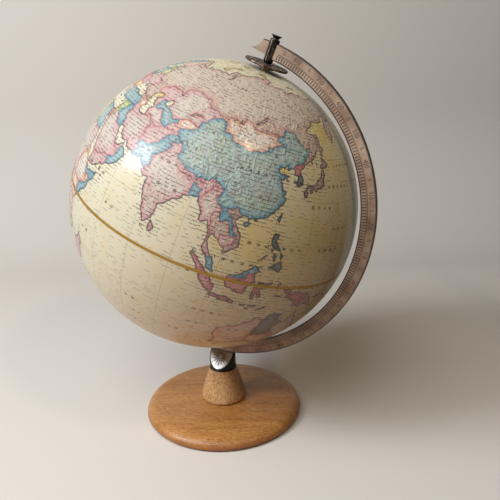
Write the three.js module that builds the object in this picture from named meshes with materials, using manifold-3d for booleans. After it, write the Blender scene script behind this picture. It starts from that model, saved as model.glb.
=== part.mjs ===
// A 30 cm table globe on a turned wooden stand, in millimetres, +Z up.
// The origin is on the stand's axis at table level. The meridian arc stands in the XZ plane and the ball's
// polar axis leans towards +X. The stand's pieces are made in this frame, and everything on the polar axis
// is made in a tilted frame whose origin is the ball's centre and whose +Z is the north pole.
import * as THREE from "three";
import { mergeVertices } from "three/addons/utils/BufferGeometryUtils.js";
import Module from "manifold-3d";

const wasm = await Module();
wasm.setup();

// ---- driving dimensions ----

const clearance = 0.3; // between pieces that turn in, pass through or lie against each other
const cutter_past = 5; // how far a cutting shape runs past the face that it opens
const north = Math.PI / 2; // angle of the north pole, counted from the equator

// ball
const ball_radius = 150;
const shell_wall = 2.2;
const axis_tilt = THREE.MathUtils.degToRad(23.5);
const seam_groove_depth = 0.5;
const tape_width = 2.5;
const tape_thickness = 0.3;
const hoop_height = 16;
const hoop_wall = 2.5;

// pole pins and the rings stacked on them
const pin_radius = 1.4;
const pin_reach = 10; // how far a pole pin goes into the ball
const bushing_wall = 1.8;
const bushing_length = 8;
const flange_overhang = 2;
const flange_thickness = 0.5;
const dial_washer_radius = 8;
const dial_washer_thickness = 2;
const dial_radius = 21.6;
const dial_thickness = 2.3;
const dial_edge = 0.6;
const thrust_washer_radius = 5.5;
const thrust_washer_thickness = 0.8;

// meridian arc
const arc_gap = 7; // from a ball hung on the arc's centre to the arc's inner edge
const ball_drop = 3.5; // how far the ball hangs below the arc's centre on the polar axis
const arc_width = 15;
const arc_thickness = 4.5;
const arc_step = THREE.MathUtils.degToRad(3);
const shoulder_reach = 10.7; // how far the outer edge runs past the north pole
const tip_reach = 21;
const tip_rise = 3.8; // height of the pointed tip over the arc's inner edge
const tip_root_rise = 1.9; // height of the tip's underside where it leaves the barrel
const tip_bend_reach = 12.8; // where the outer edge bends from the shoulder towards the tip
const tip_bend_rise = 5.7;
const south_end_reach = 12;

// pole barrels, the knob and the south pin's head
const barrel_radius = 4.8;
const barrel_foot_radius = 3.6;
const barrel_foot_height = 2.6;
const barrel_cap = 3; // metal of the barrel beyond the arc's outer edge
const barrel_chamfer = 0.5;
const knob_radius = 5.1;
const knob_neck_radius = 3;
const knob_height = 3.3;
const knob_rim = 0.6;
const pin_in_knob = 1.7;
const south_head_radius = 3.6;
const south_head_height = 2;

// base disc and felt
const base_radius = 90;
const base_height = 13.5; // of the wood alone, at the neck's seat
const rim_height = 11.7; // of the wood alone, where the edge rounding ends
const rim_rounding = 13;
const foot_rounding = 2.5;
const neck_seat_margin = 1; // flat left on the disc around the neck
const felt_thickness = 2;
const felt_proud = 1; // how far the felt stands out under the wood
const felt_margin = 7;

// neck cone
const neck_height = 37.8;
const neck_bottom_radius = 25.7;
const neck_top_radius = 15.5;
const neck_bulge = 0.9;
const neck_foot_rounding = 3;
const neck_top_chamfer = 0.7;
const tenon_radius = 10;
const tenon_length = 3.8;

// collar
const collar_radius = 15;
const collar_seat = 20.4; // from the neck's top to the floor of the arc's slot
const collar_flange = 0.6;
const collar_flange_height = 1.2;
const spigot_radius = 8;
const spigot_length = 5.7;
const cut_start = 1.5; // height of the slanted cut's lowest point over the neck
const cut_slope = 1.2; // rise of the slanted cut for each millimetre towards the arc
const cheek_below_arc = 1.5; // how far the rear cheek stays below the arc's inner edge
const plate_thickness = 0.8;
const plate_margin = 1;

// bolt, washer and nut through the stand
const bolt_radius = 3;
const hex_across_flats = 10;
const bolt_head_height = 3.7;
const bolt_washer_radius = 7.5;
const bolt_washer_thickness = 1;
const nut_height = 5;
const nut_seat = 5.3; // from the neck's top to the nut's underside
const bolt_past_nut = 1.4;

// screws through the collar's rear cheek into the arc
const screw_radius = 1.5;
const screw_head_radius = 2.8;
const screw_head_height = 2;
const screw_spacing = 15;
const screw_cheek = 6; // cheek left under each screw head
const screw_bite = 3.2; // depth of screw in the arc

// number of flat sides on round pieces
const ball_sides = 40;
const ball_rows = 10;
const disc_sides = 48;
const round_sides = 36;
const small_sides = 20;

// ---- heights that follow ----

const base_bottom = felt_proud;
const recess_top = felt_thickness;
const base_top = base_bottom + base_height;
const neck_top = base_top + neck_height;
const slot_floor = neck_top + collar_seat;
const arc_inner_radius = ball_radius + arc_gap;
const arc_outer_radius = arc_inner_radius + arc_width;
const arc_height = slot_floor + clearance + arc_outer_radius; // of the arc's centre

// on the polar axis, from the ball's centre
const flange_bottom = ball_radius + clearance;
const flange_top = flange_bottom + flange_thickness;
const stack_start = flange_top + clearance;
const dial_bottom = stack_start + dial_washer_thickness + clearance;

// on the polar axis, from the arc's centre
const north_barrel_bottom = dial_bottom + dial_thickness + clearance - ball_drop;
const south_barrel_bottom = stack_start + thrust_washer_thickness + clearance + ball_drop;
const barrel_top = arc_outer_radius + barrel_cap;
const head_bottom = barrel_top + clearance;
const pin_bore = pin_radius + clearance;

const polar_frame = new THREE.Matrix4().makeRotationY(axis_tilt).setPosition(0, 0, arc_height);

// ---- making solids ----

// A closed three.js geometry as a solid for joining and cutting.
function solid_of(geometry) {
  const bare = geometry.clone();
  bare.deleteAttribute("normal");
  bare.deleteAttribute("uv");
  const merged = mergeVertices(bare, 1e-4);
  return new wasm.Manifold(
    new wasm.Mesh({
      numProp: 3,
      vertProperties: merged.getAttribute("position").array,
      triVerts: new Uint32Array(merged.index.array),
    }),
  );
}

function geometry_of(solid) {
  const mesh = solid.getMesh();
  const geometry = new THREE.BufferGeometry();
  geometry.setAttribute("position", new THREE.BufferAttribute(mesh.vertProperties, 3));
  geometry.setIndex(new THREE.BufferAttribute(mesh.triVerts, 1));
  return geometry;
}

function cut(geometry, ...tools) {
  const left = tools.reduce((rest, tool) => rest.subtract(solid_of(tool)), solid_of(geometry));
  return geometry_of(left);
}

// Turns a closed outline of [radius, height] points, given anticlockwise, about the Z axis.
function turned(outline, sides) {
  const points = outline.map(([radius, height]) => new THREE.Vector2(radius, height));
  if (outline[0][0] > 0) points.push(points[0].clone());
  return new THREE.LatheGeometry(points, sides).rotateX(Math.PI / 2);
}

function ring(inner, outer, bottom, top, sides) {
  return turned([[inner, bottom], [outer, bottom], [outer, top], [inner, top]], sides);
}

function rod(radius, bottom, top, sides = small_sides) {
  return turned([[0, bottom], [radius, bottom], [radius, top], [0, top]], sides);
}

// A hexagonal bar on the Z axis, with a flat towards +Y.
function hex_bar(across_flats, bottom, top) {
  const corner_radius = across_flats / Math.sqrt(3);
  const bar = new THREE.CylinderGeometry(corner_radius, corner_radius, top - bottom, 6);
  return bar.rotateX(Math.PI / 2).rotateZ(Math.PI / 6).translate(0, 0, (bottom + top) / 2);
}

// Points of an ellipse about [centre_r, centre_z], from angle `from` to angle `to`.
function bend(centre_r, centre_z, size_r, size_z, from, to, steps) {
  return Array.from({ length: steps + 1 }, (_, i) => {
    const angle = from + ((to - from) * i) / steps;
    return [centre_r + size_r * Math.cos(angle), centre_z + size_z * Math.sin(angle)];
  });
}

// Extrudes an outline of [x, z] points to `thickness`, centred on the XZ plane.
function slab(points, thickness) {
  const shape = new THREE.Shape(points.map(([x, z]) => new THREE.Vector2(x, z)));
  const extruded = new THREE.ExtrudeGeometry(shape, { depth: thickness, bevelEnabled: false });
  return extruded.translate(0, 0, -thickness / 2).rotateX(Math.PI / 2);
}

// Points of a circle of `radius` from one angle to another, counted from +X towards +Z.
function sweep(radius, from, to) {
  const steps = Math.max(2, Math.round(Math.abs(to - from) / arc_step));
  return bend(0, 0, radius, radius, from, to, steps);
}

// A slab along the meridian arc, between two radii and two angles about the ball's centre.
function arc_slab(inner, outer, from, to, thickness) {
  return slab([...sweep(outer, from, to), ...sweep(inner, to, from)], thickness);
}

// ---- the scene graph ----

const globe_on_stand = new THREE.Group();
const polar_group = new THREE.Group();
polar_group.position.z = arc_height;
polar_group.rotation.y = axis_tilt;
globe_on_stand.add(polar_group);

// The ball and the rings that bear on its poles.
const ball_group = new THREE.Group();
ball_group.position.z = -ball_drop;
polar_group.add(ball_group);

function place(name, geometry, parent, color, roughness, metalness = 0) {
  const material = new THREE.MeshStandardMaterial({ color, roughness, metalness });
  const mesh = new THREE.Mesh(geometry, material);
  mesh.name = name;
  parent.add(mesh);
}

// ---- base disc, with a shallow recess for the felt and a counterbore for the bolt ----

const felt_radius = base_radius - felt_margin;
const bolt_bore = bolt_radius + clearance;
const counterbore_radius = bolt_washer_radius + clearance;
const bolt_washer_bottom = recess_top + clearance + bolt_head_height;
const counterbore_top = bolt_washer_bottom + bolt_washer_thickness;
const mortise_radius = tenon_radius + clearance;
const mortise_floor = base_top - tenon_length - clearance;
const neck_seat_radius = neck_bottom_radius + neck_seat_margin;

function base_disc() {
  const rim_top = base_bottom + rim_height;
  const flank = base_bottom + foot_rounding;
  const dome_edge = base_radius - rim_rounding;
  const dome = [0.75, 0.5, 0.25, 0].map((share) => [
    neck_seat_radius + share * (dome_edge - neck_seat_radius),
    base_top - share * share * (base_top - rim_top),
  ]);
  const foot_start = base_radius - foot_rounding;
  return turned(
    [
      [bolt_bore, counterbore_top],
      [counterbore_radius, counterbore_top],
      [counterbore_radius, recess_top],
      [felt_radius + clearance, recess_top],
      [felt_radius + clearance, base_bottom],
      ...bend(foot_start, flank, foot_rounding, foot_rounding, -Math.PI / 2, 0, 2),
      ...bend(dome_edge, flank, rim_rounding, rim_top - flank, 0, Math.PI / 2, 6).slice(1),
      ...dome,
      [mortise_radius, base_top],
      [mortise_radius, mortise_floor],
      [bolt_bore, mortise_floor],
    ],
    disc_sides,
  );
}

place("base_disc", base_disc(), globe_on_stand, "#b08550", 0.5);
place("felt_pad", rod(felt_radius, 0, felt_thickness, disc_sides), globe_on_stand, "#3a4a38", 0.95);

// ---- neck cone, with a tenon into the base and a socket for the collar's spigot ----

function neck_cone() {
  const side_start = base_top + neck_foot_rounding;
  const side_end = neck_top - neck_top_chamfer;
  const side = [0.2, 0.4, 0.6, 0.8, 1].map((share) => [
    THREE.MathUtils.lerp(neck_bottom_radius, neck_top_radius, share) +
      4 * share * (1 - share) * neck_bulge,
    THREE.MathUtils.lerp(side_start, side_end, share),
  ]);
  const foot_centre = neck_bottom_radius - neck_foot_rounding;
  const socket_radius = spigot_radius + clearance;
  const socket_floor = neck_top - spigot_length - clearance;
  return turned(
    [
      [bolt_bore, base_top - tenon_length],
      [tenon_radius, base_top - tenon_length],
      [tenon_radius, base_top],
      ...bend(foot_centre, side_start, neck_foot_rounding, neck_foot_rounding, -Math.PI / 2, 0, 3),
      ...side,
      [neck_top_radius - neck_top_chamfer, neck_top],
      [socket_radius, neck_top],
      [socket_radius, socket_floor],
      [bolt_bore, socket_floor],
    ],
    round_sides,
  );
}

place("neck_cone", neck_cone(), globe_on_stand, "#b5894f", 0.45);

// ---- bolt, washer and nut that draw the stand together ----

const nut_bottom = neck_top + nut_seat;
const nut_top = nut_bottom + nut_height;
const bolt_top = nut_top + bolt_past_nut;

function base_bolt() {
  const head = hex_bar(hex_across_flats, bolt_washer_bottom - bolt_head_height, bolt_washer_bottom);
  const shank = rod(bolt_radius, bolt_washer_bottom - bolt_head_height / 2, bolt_top);
  return geometry_of(solid_of(head).add(solid_of(shank)));
}

function collar_nut() {
  const bore = rod(bolt_bore, nut_bottom - cutter_past, nut_top + cutter_past);
  return cut(hex_bar(hex_across_flats, nut_bottom, nut_top), bore);
}

const bolt_washer = ring(
  bolt_bore,
  bolt_washer_radius,
  bolt_washer_bottom,
  counterbore_top,
  small_sides,
);
place("base_bolt", base_bolt(), globe_on_stand, "#b9bcc0", 0.35, 0.9);
place("bolt_washer", bolt_washer, globe_on_stand, "#b9bcc0", 0.35, 0.9);
place("collar_nut", collar_nut(), globe_on_stand, "#b9bcc0", 0.35, 0.9);

// ---- collar: a cylinder cut off at a slant in front, with a full-height cheek behind the arc ----

const cut_angle = Math.atan(cut_slope);
const cut_low = neck_top + cut_start;
const cheek_top = arc_height - arc_inner_radius - cheek_below_arc;
const slot_half = arc_thickness / 2 + clearance;
const screw_height = arc_height - (arc_inner_radius + arc_outer_radius) / 2;
const screw_places = { left: -screw_spacing / 2, right: screw_spacing / 2 };
const head_seat = slot_half + screw_cheek;
const screw_tip = arc_thickness / 2 - screw_bite;

// Everything in front of and above the slanted cut, sunk by `sink` along the cut's normal.
function slant_tool(sink) {
  const front = -collar_radius - cutter_past;
  const back = arc_thickness / 2;
  const top = cheek_top + cutter_past;
  const drop = sink / Math.cos(cut_angle);
  const height_at = (y) => cut_low + (y + collar_radius) * cut_slope - drop;
  const outline = [[front, height_at(front)], [back, height_at(back)], [back, top], [front, top]];
  return slab(outline, 2 * (collar_radius + cutter_past)).rotateZ(Math.PI / 2);
}

// A rod along Y at one of the two screws, from y = `front` to y = `back`.
function screw_tool(x, radius, front, back) {
  return rod(radius, -back, -front).rotateX(Math.PI / 2).translate(x, 0, screw_height);
}

function collar() {
  const flange_edge = collar_radius + collar_flange;
  const blank = turned(
    [
      [0, bolt_top + clearance],
      [bolt_bore, bolt_top + clearance],
      [bolt_bore, neck_top - spigot_length],
      [spigot_radius, neck_top - spigot_length],
      [spigot_radius, neck_top],
      [flange_edge, neck_top],
      [flange_edge, neck_top + collar_flange_height],
      [collar_radius, neck_top + collar_flange_height + collar_flange],
      [collar_radius, cheek_top],
      [0, cheek_top],
    ],
    round_sides,
  );
  const slot_half_angle = Math.atan((collar_radius + cutter_past) / arc_inner_radius);
  const slot = arc_slab(
    arc_inner_radius - clearance,
    arc_outer_radius + clearance,
    -north - slot_half_angle,
    -north + slot_half_angle,
    2 * slot_half,
  ).translate(0, 0, arc_height);
  const plate_bore = rod(
    collar_radius - plate_margin + clearance,
    neck_top,
    cheek_top + cutter_past,
    round_sides,
  );
  const recess = solid_of(slant_tool(plate_thickness + clearance)).intersect(solid_of(plate_bore));
  const nut_pocket = hex_bar(hex_across_flats + 2 * clearance, nut_bottom, slot_floor + clearance);
  const screw_cuts = Object.values(screw_places).flatMap((x) => [
    screw_tool(x, screw_radius + clearance, 0, head_seat + cutter_past),
    screw_tool(x, screw_head_radius + clearance, head_seat, collar_radius + cutter_past),
  ]);
  const with_recess = geometry_of(solid_of(blank).subtract(recess));
  return cut(with_recess, slant_tool(0), slot, nut_pocket, ...screw_cuts);
}

place("collar", collar(), globe_on_stand, "#17120f", 0.35);

// ---- star plate: a flat plate let into the slanted cut, ending below the arc ----

function star_plate() {
  const half_width = collar_radius - plate_margin;
  const half_length = half_width / Math.cos(cut_angle);
  const centre = collar_radius / Math.cos(cut_angle);
  const top_edge = (slot_floor - cut_low) / Math.sin(cut_angle) - 2 * clearance;
  const turn = Math.asin((top_edge - centre) / half_length);
  const outline = new THREE.Shape(
    bend(0, centre, half_width, half_length, -Math.PI - turn, turn, round_sides).map(
      ([x, y]) => new THREE.Vector2(x, y),
    ),
  );
  const plate = new THREE.ExtrudeGeometry(outline, { depth: plate_thickness, bevelEnabled: false });
  return plate
    .translate(0, 0, -plate_thickness)
    .rotateX(cut_angle)
    .translate(0, -collar_radius, cut_low);
}

place("star_plate", star_plate(), globe_on_stand, "#c9c6c2", 0.25, 0.8);

// ---- screws through the cheek ----

for (const [side, x] of Object.entries(screw_places)) {
  const shank = screw_tool(x, screw_radius, screw_tip, head_seat + screw_head_height / 2);
  const head = screw_tool(x, screw_head_radius, head_seat, head_seat + screw_head_height);
  const screw = geometry_of(solid_of(shank).add(solid_of(head)));
  place(`collar_screw_${side}`, screw, globe_on_stand, "#8a8c8f", 0.35, 0.9);
}

// ---- meridian arc, in the polar frame: pointed past the north pole, rounded past the south ----

function meridian_arc() {
  const shoulder_angle = Math.asin(shoulder_reach / arc_outer_radius);
  const over_the_tip = new THREE.QuadraticBezierCurve(
    new THREE.Vector2(-tip_reach, arc_inner_radius + tip_rise),
    new THREE.Vector2(-tip_bend_reach, arc_inner_radius + tip_bend_rise),
    new THREE.Vector2(-shoulder_reach, arc_outer_radius * Math.cos(shoulder_angle)),
  );
  const middle_radius = (arc_inner_radius + arc_outer_radius) / 2;
  const south_end_angle = -north - Math.asin(south_end_reach / arc_outer_radius);
  const south_end = bend(
    middle_radius * Math.cos(south_end_angle),
    middle_radius * Math.sin(south_end_angle),
    arc_width / 2,
    arc_width / 2,
    south_end_angle,
    south_end_angle - Math.PI,
    8,
  );
  const outline = [
    ...sweep(arc_inner_radius, south_end_angle, north).slice(1),
    [-barrel_radius, arc_inner_radius + tip_root_rise],
    ...over_the_tip.getPoints(6).map((point) => [point.x, point.y]),
    ...sweep(arc_outer_radius, north + shoulder_angle, south_end_angle).slice(1, -1),
    ...south_end,
  ];
  const to_polar_frame = polar_frame.clone().invert();
  const screw_holes = Object.values(screw_places).map((x) =>
    screw_tool(x, screw_radius + clearance, screw_tip - clearance, arc_thickness / 2 + cutter_past)
      .applyMatrix4(to_polar_frame),
  );
  const pin_hole = rod(pin_bore, -arc_outer_radius - cutter_past, arc_outer_radius + cutter_past);
  return cut(slab(outline, arc_thickness), pin_hole, ...screw_holes);
}

place("meridian_arc", meridian_arc(), polar_group, "#8c6f62", 0.4);

// ---- pole barrels, which straddle the arc ----

function pole_barrel(bottom) {
  const foot_top = bottom + barrel_foot_height;
  const blank = turned(
    [
      [pin_bore, bottom],
      [barrel_foot_radius, bottom],
      [barrel_radius, foot_top],
      [barrel_radius, barrel_top - barrel_chamfer],
      [barrel_radius - barrel_chamfer, barrel_top],
      [pin_bore, barrel_top],
    ],
    small_sides,
  );
  const slot = arc_slab(
    arc_inner_radius - clearance,
    arc_outer_radius + clearance,
    north + arc_step,
    north - arc_step,
    2 * slot_half,
  );
  return cut(blank, slot);
}

place("north_barrel", pole_barrel(north_barrel_bottom), polar_group, "#2a2320", 0.35, 0.7);
const south_barrel = pole_barrel(south_barrel_bottom).rotateY(Math.PI);
place("south_barrel", south_barrel, polar_group, "#2a2320", 0.35, 0.7);

// ---- pins, knob and washers on the polar axis ----

const pin_start = ball_radius - pin_reach;
const north_pin_start = pin_start - ball_drop;
const south_pin_start = pin_start + ball_drop;
const knob_top = head_bottom + knob_height;

function pin_knob() {
  return turned(
    [
      [pin_bore, head_bottom],
      [knob_neck_radius, head_bottom],
      [knob_neck_radius, head_bottom + knob_rim],
      [knob_radius, knob_top - knob_rim],
      [knob_radius, knob_top],
      [0, knob_top],
      [0, head_bottom + pin_in_knob + clearance],
      [pin_bore, head_bottom + pin_in_knob + clearance],
    ],
    small_sides,
  );
}

function south_pin() {
  const head_top = head_bottom + south_head_height;
  return turned(
    [
      [0, south_pin_start],
      [pin_radius, south_pin_start],
      [pin_radius, head_bottom],
      [south_head_radius, head_bottom],
      [south_head_radius, head_top - south_head_height / 2],
      [south_head_radius / 2, head_top],
      [0, head_top],
    ],
    small_sides,
  ).rotateY(Math.PI);
}

const dial_washer = ring(
  pin_bore,
  dial_washer_radius,
  stack_start,
  stack_start + dial_washer_thickness,
  small_sides,
);
const thrust_washer = ring(
  pin_bore,
  thrust_washer_radius,
  stack_start,
  stack_start + thrust_washer_thickness,
  small_sides,
).rotateY(Math.PI);
place("north_pin", rod(pin_radius, north_pin_start, head_bottom + pin_in_knob), polar_group, "#9a9c9f", 0.3, 0.9);
place("pin_knob", pin_knob(), polar_group, "#1c1917", 0.4, 0.5);
place("south_pin", south_pin(), polar_group, "#9a9c9f", 0.3, 0.9);
place("dial_washer", dial_washer, ball_group, "#d8d2c0", 0.6);
place("thrust_washer", thrust_washer, ball_group, "#d8d2c0", 0.6);

// ---- hour dial ----

function hour_dial() {
  const top = dial_bottom + dial_thickness;
  return turned(
    [
      [pin_bore, dial_bottom],
      [dial_radius - dial_edge, dial_bottom],
      [dial_radius, dial_bottom + dial_edge],
      [dial_radius, top - dial_edge],
      [dial_radius - dial_edge, top],
      [pin_bore, top],
    ],
    disc_sides,
  );
}

place("hour_dial", hour_dial(), ball_group, "#5c554d", 0.4, 0.7);

// ---- bushings in the pole holes ----

const bushing_radius = pin_bore + bushing_wall;

function pole_bushing() {
  return turned(
    [
      [pin_bore, flange_top - bushing_length],
      [bushing_radius, flange_top - bushing_length],
      [bushing_radius, flange_bottom],
      [bushing_radius + flange_overhang, flange_bottom],
      [bushing_radius + flange_overhang, flange_top],
      [pin_bore, flange_top],
    ],
    small_sides,
  );
}

place("north_bushing", pole_bushing(), ball_group, "#b08d4a", 0.35, 0.9);
place("south_bushing", pole_bushing().rotateY(Math.PI), ball_group, "#b08d4a", 0.35, 0.9);

// ---- the two hemispheres, with a groove for the tape at their seam ----

const seam_half = clearance / 2;
const groove_half = tape_width / 2 + clearance;
const groove_radius = ball_radius - seam_groove_depth;
const inner_radius = ball_radius - shell_wall;

function hemisphere() {
  const hole_radius = bushing_radius + clearance;
  const lowest = (radius, height) => Math.asin(height / radius);
  const highest = (radius) => Math.acos(hole_radius / radius);
  const wall_row = (radius, from, to) => bend(0, 0, radius, radius, from, to, ball_rows);
  return turned(
    [
      [groove_radius, seam_half],
      [groove_radius, groove_half],
      ...wall_row(ball_radius, lowest(ball_radius, groove_half), highest(ball_radius)),
      ...wall_row(inner_radius, highest(inner_radius), lowest(inner_radius, seam_half)),
    ],
    ball_sides,
  );
}

place("north_hemisphere", hemisphere(), ball_group, "#d3c08a", 0.25);
place("south_hemisphere", hemisphere().rotateY(Math.PI), ball_group, "#d3c08a", 0.25);

// ---- hoop inside the seam and tape over it ----

const hoop_radius = Math.sqrt(inner_radius ** 2 - (hoop_height / 2) ** 2) - 2 * clearance;
const hoop = ring(
  hoop_radius - hoop_wall,
  hoop_radius,
  -hoop_height / 2,
  hoop_height / 2,
  ball_sides,
);
const tape = ring(
  groove_radius + clearance,
  groove_radius + clearance + tape_thickness,
  -tape_width / 2,
  tape_width / 2,
  ball_sides,
);
place("joining_hoop", hoop, ball_group, "#b59a6a", 0.8);
place("equator_band", tape, ball_group, "#a07a35", 0.4);

export default globe_on_stand;
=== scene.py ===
"""A 30 cm desktop globe: a varnished relief map ball between the pole pins of a half meridian arc, which
stands in a moulded collar on a turned beech neck and base. Metres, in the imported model's frame."""

import math
import random

import bmesh
import bpy
import numpy as np
from mathutils import Matrix, Vector, kdtree, noise
from mathutils.geometry import delaunay_2d_cdt


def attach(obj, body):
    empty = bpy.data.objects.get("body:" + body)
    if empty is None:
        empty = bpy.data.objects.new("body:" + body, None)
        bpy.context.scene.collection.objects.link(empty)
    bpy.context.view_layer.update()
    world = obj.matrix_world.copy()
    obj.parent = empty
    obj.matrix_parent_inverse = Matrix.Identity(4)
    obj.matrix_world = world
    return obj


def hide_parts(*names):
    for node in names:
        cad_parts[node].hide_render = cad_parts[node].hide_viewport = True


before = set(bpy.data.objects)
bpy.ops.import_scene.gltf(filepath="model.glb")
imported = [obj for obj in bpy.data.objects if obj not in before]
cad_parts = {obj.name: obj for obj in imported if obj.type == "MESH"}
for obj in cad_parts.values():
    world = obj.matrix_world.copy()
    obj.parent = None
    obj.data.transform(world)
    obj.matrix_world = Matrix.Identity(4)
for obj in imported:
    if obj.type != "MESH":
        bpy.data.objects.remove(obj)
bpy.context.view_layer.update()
scene = bpy.context.scene

# ---- camera ----
# A phone held a little above the ball's centre, in front of the stand and to its right, tilted down
# and turned slightly on its own axis.

camera_data = bpy.data.cameras.new("camera")
camera_data.lens = 38.22
camera = bpy.data.objects.new("camera", camera_data)
camera_turn, camera_dip, camera_roll = map(math.radians, (26.865, 15.486, -1.126))
camera.matrix_world = (
    Matrix.Translation((0.28513, -0.48703, 0.34854))
    @ Matrix.Rotation(camera_turn, 4, "Z")
    @ Matrix.Rotation(math.pi / 2 - camera_dip, 4, "X")
    @ Matrix.Rotation(camera_roll, 4, "Z")
)
scene.collection.objects.link(camera)
scene.camera = camera

# ---- studio ----
# A pale sweep of floor and wall; a soft window light from the left front, a broad one from above the camera,
# a small warm one high on the right, a dark cloth beside the object and dim light from the room.


def colour(code):
    """An sRGB hex colour as the linear colour that shaders and lamps take."""
    parts = [int(code[i : i + 2], 16) / 255 for i in (1, 3, 5)]
    return [*(v / 12.92 if v <= 0.04045 else ((v + 0.055) / 1.055) ** 2.4 for v in parts), 1.0]


def add(tree, kind, inputs=(), out=0, **settings):
    """Adds one shader node; each input is a number, a colour or the output of another node."""
    node = tree.nodes.new("ShaderNode" + kind)
    for name, value in settings.items():
        setattr(node, name, value)
    for key, value in inputs.items() if isinstance(inputs, dict) else enumerate(inputs):
        if isinstance(value, bpy.types.NodeSocket):
            tree.links.new(value, node.inputs[key])
        elif value is not None:
            node.inputs[key].default_value = value
    return node.outputs[out] if node.outputs else None


def blank(name):
    """A new material with nothing in it but its node tree."""
    made = bpy.data.materials.new(name)
    made.use_nodes = True
    made.node_tree.nodes.clear()
    return made, made.node_tree


def finish(tree, parts, height=None, depth=0.0, strength=0.5):
    """Ends a material with its shader, and with bumps that are `depth` metres high where the height is 1."""
    if height is not None:
        parts["Normal"] = add(tree, "Bump", {"Height": height, "Distance": depth, "Strength": strength})
    add(tree, "OutputMaterial", (add(tree, "BsdfPrincipled", parts),))


two_tone = {"out": 2, "data_type": "RGBA"}  # settings of a Mix node that mixes its colours 6 and 7
view_turn = math.radians(28.5)  # the studio is turned to face the camera

# Painted studio board: pale to the eye, while the light it sends back to the object is that of a wooden
# table with painted light and shade: painted window light on the left, reddish brown under the ball and
# painted deep shade on the right.
board, tree = blank("matt painted studio board")
seen_by_eye, seen_in_gloss, seen_through = (add(tree, "LightPath", out=k) for k in (0, 3, 6))
seen = add(tree, "Math", (seen_by_eye, seen_in_gloss), operation="MAXIMUM")
seen = add(tree, "Math", (seen, seen_through), operation="MAXIMUM")
place = add(tree, "TexCoord", out=3)
board_grain = add(tree, "TexNoise", {"Vector": place, "Scale": 900.0, "Detail": 2.0})
board_pale = add(tree, "Mix", {0: board_grain, 6: colour("#d8d5d0"), 7: colour("#dedbd6")}, **two_tone)
across = add(tree, "Mapping", {"Vector": place, "Rotation": (0, 0, view_turn)}, vector_type="TEXTURE")
across = add(tree, "SeparateXYZ", (across,))
# painted window light on the table's left and painted deep shade on its right, only in the light sent back
painted_window_light = add(tree, "MapRange", {0: across, 1: -0.32, 2: -0.08})
painted_deep_shade = add(tree, "MapRange", {0: across, 1: -0.04, 2: 0.16})
painted_table_light_and_shade = add(tree, "Mix", {0: painted_window_light, 6: colour("#cfc4bc"), 7: colour("#c2865c")}, **two_tone)
painted_table_light_and_shade = add(tree, "Mix", {0: painted_deep_shade, 6: painted_table_light_and_shade, 7: colour("#2c190e")}, **two_tone)
board_shade = add(tree, "Mix", {0: seen, 6: painted_table_light_and_shade, 7: board_pale}, **two_tone)
finish(tree, {"Base Color": board_shade, "Roughness": 0.9})


def stand_up(name, corners, faces, material):
    """Puts a board or a cloth into the studio; neither is part of the object."""
    mesh = bpy.data.meshes.new(name)
    mesh.from_pydata(corners, [], faces)
    mesh.transform(Matrix.Rotation(view_turn, 4, "Z"))
    mesh.materials.append(material)
    made = bpy.data.objects.new(name, mesh)
    scene.collection.objects.link(made)
    return made


half_width, front, top = 2.4, -1.6, 2.2
bend_start, bend_radius, bend_steps = 0.55, 0.35, 12
section = [(front, 0.0)]
for angle in (math.pi / 2 * k / bend_steps for k in range(bend_steps + 1)):
    section.append((bend_start + bend_radius * math.sin(angle), bend_radius * (1 - math.cos(angle))))
section.append((bend_start + bend_radius, top))
count = len(section)
sweep = stand_up(
    "studio_sweep",
    [(side, depth, height) for side in (-half_width, half_width) for depth, height in section],
    [(k, count + k, count + k + 1, k + 1) for k in range(count - 1)],
    board,
)
sweep.data.shade_smooth()

# A dark cloth on the right, which the camera looks through, keeps the room's light off the ball's far side.
dark_cloth, tree = blank("dark brown wool cloth")
weave = add(tree, "TexNoise", {"Vector": add(tree, "TexCoord", out=3), "Scale": 500.0, "Detail": 2.0})
cloth_tone = add(tree, "Mix", {0: weave, 6: colour("#1d130d"), 7: colour("#2c1f16")}, **two_tone)
finish(tree, {"Base Color": cloth_tone, "Roughness": 1.0})
cloth_edge = [(0.5, -0.6, 0), (0.5, 0.08, 0), (0.5, 0.08, 0.6), (0.5, -0.6, 0.6)]
stand_up("dark_cloth", cloth_edge, [(0, 1, 2, 3)], dark_cloth).visible_camera = False


lamp_aim = Vector((0, 0, 0.245))


def lamp(name, azimuth, height, distance, size, power, tint):
    """A square soft light that faces the ball from an azimuth and elevation in degrees."""
    data = bpy.data.lights.new(name, "AREA")
    data.size, data.energy, data.color = size, power, colour(tint)[:3]
    turn, rise = math.radians(azimuth), math.radians(height)
    towards = Vector((math.sin(turn) * math.cos(rise), -math.cos(turn) * math.cos(rise), math.sin(rise)))
    facing = towards.to_track_quat("Z", "Y").to_matrix().to_4x4()
    made = bpy.data.objects.new(name, data)
    made.matrix_world = Matrix.Translation(lamp_aim + towards * distance) @ facing
    scene.collection.objects.link(made)


lamp("window_light", -39, 36.5, 1.7, 0.52, 21, "#f4f9ff")
lamp("high_right_light", 64, 48, 1.4, 0.12, 2.5, "#ffe4bc")
lamp("ceiling_light", -2, 50, 1.6, 1.1, 16.5, "#f2ede6")

# The room: a pale backdrop to the eye, and an eighth of that as light on the object.
room = bpy.data.worlds.new("room")
scene.world = room
room.use_nodes = True
room.node_tree.nodes.clear()
seen_by_eye = add(room.node_tree, "LightPath")
dim_light = [0.12 * v for v in colour("#e6e8d8")]
room_tone = add(room.node_tree, "Mix", {0: seen_by_eye, 6: dim_light, 7: colour("#cfccc7")}, **two_tone)
add(room.node_tree, "OutputWorld", (add(room.node_tree, "Background", (room_tone, 1.0)),))
scene.view_settings.view_transform = "Standard"

# ---- base disc ----
# One disc of steamed beech, turned on a lathe with a full round edge and a slightly domed top, bored for
# the neck's tenon and the bolt, and recessed below for the felt. Thinly oiled, and worn redder at the edge.

mm = 0.001


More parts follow.
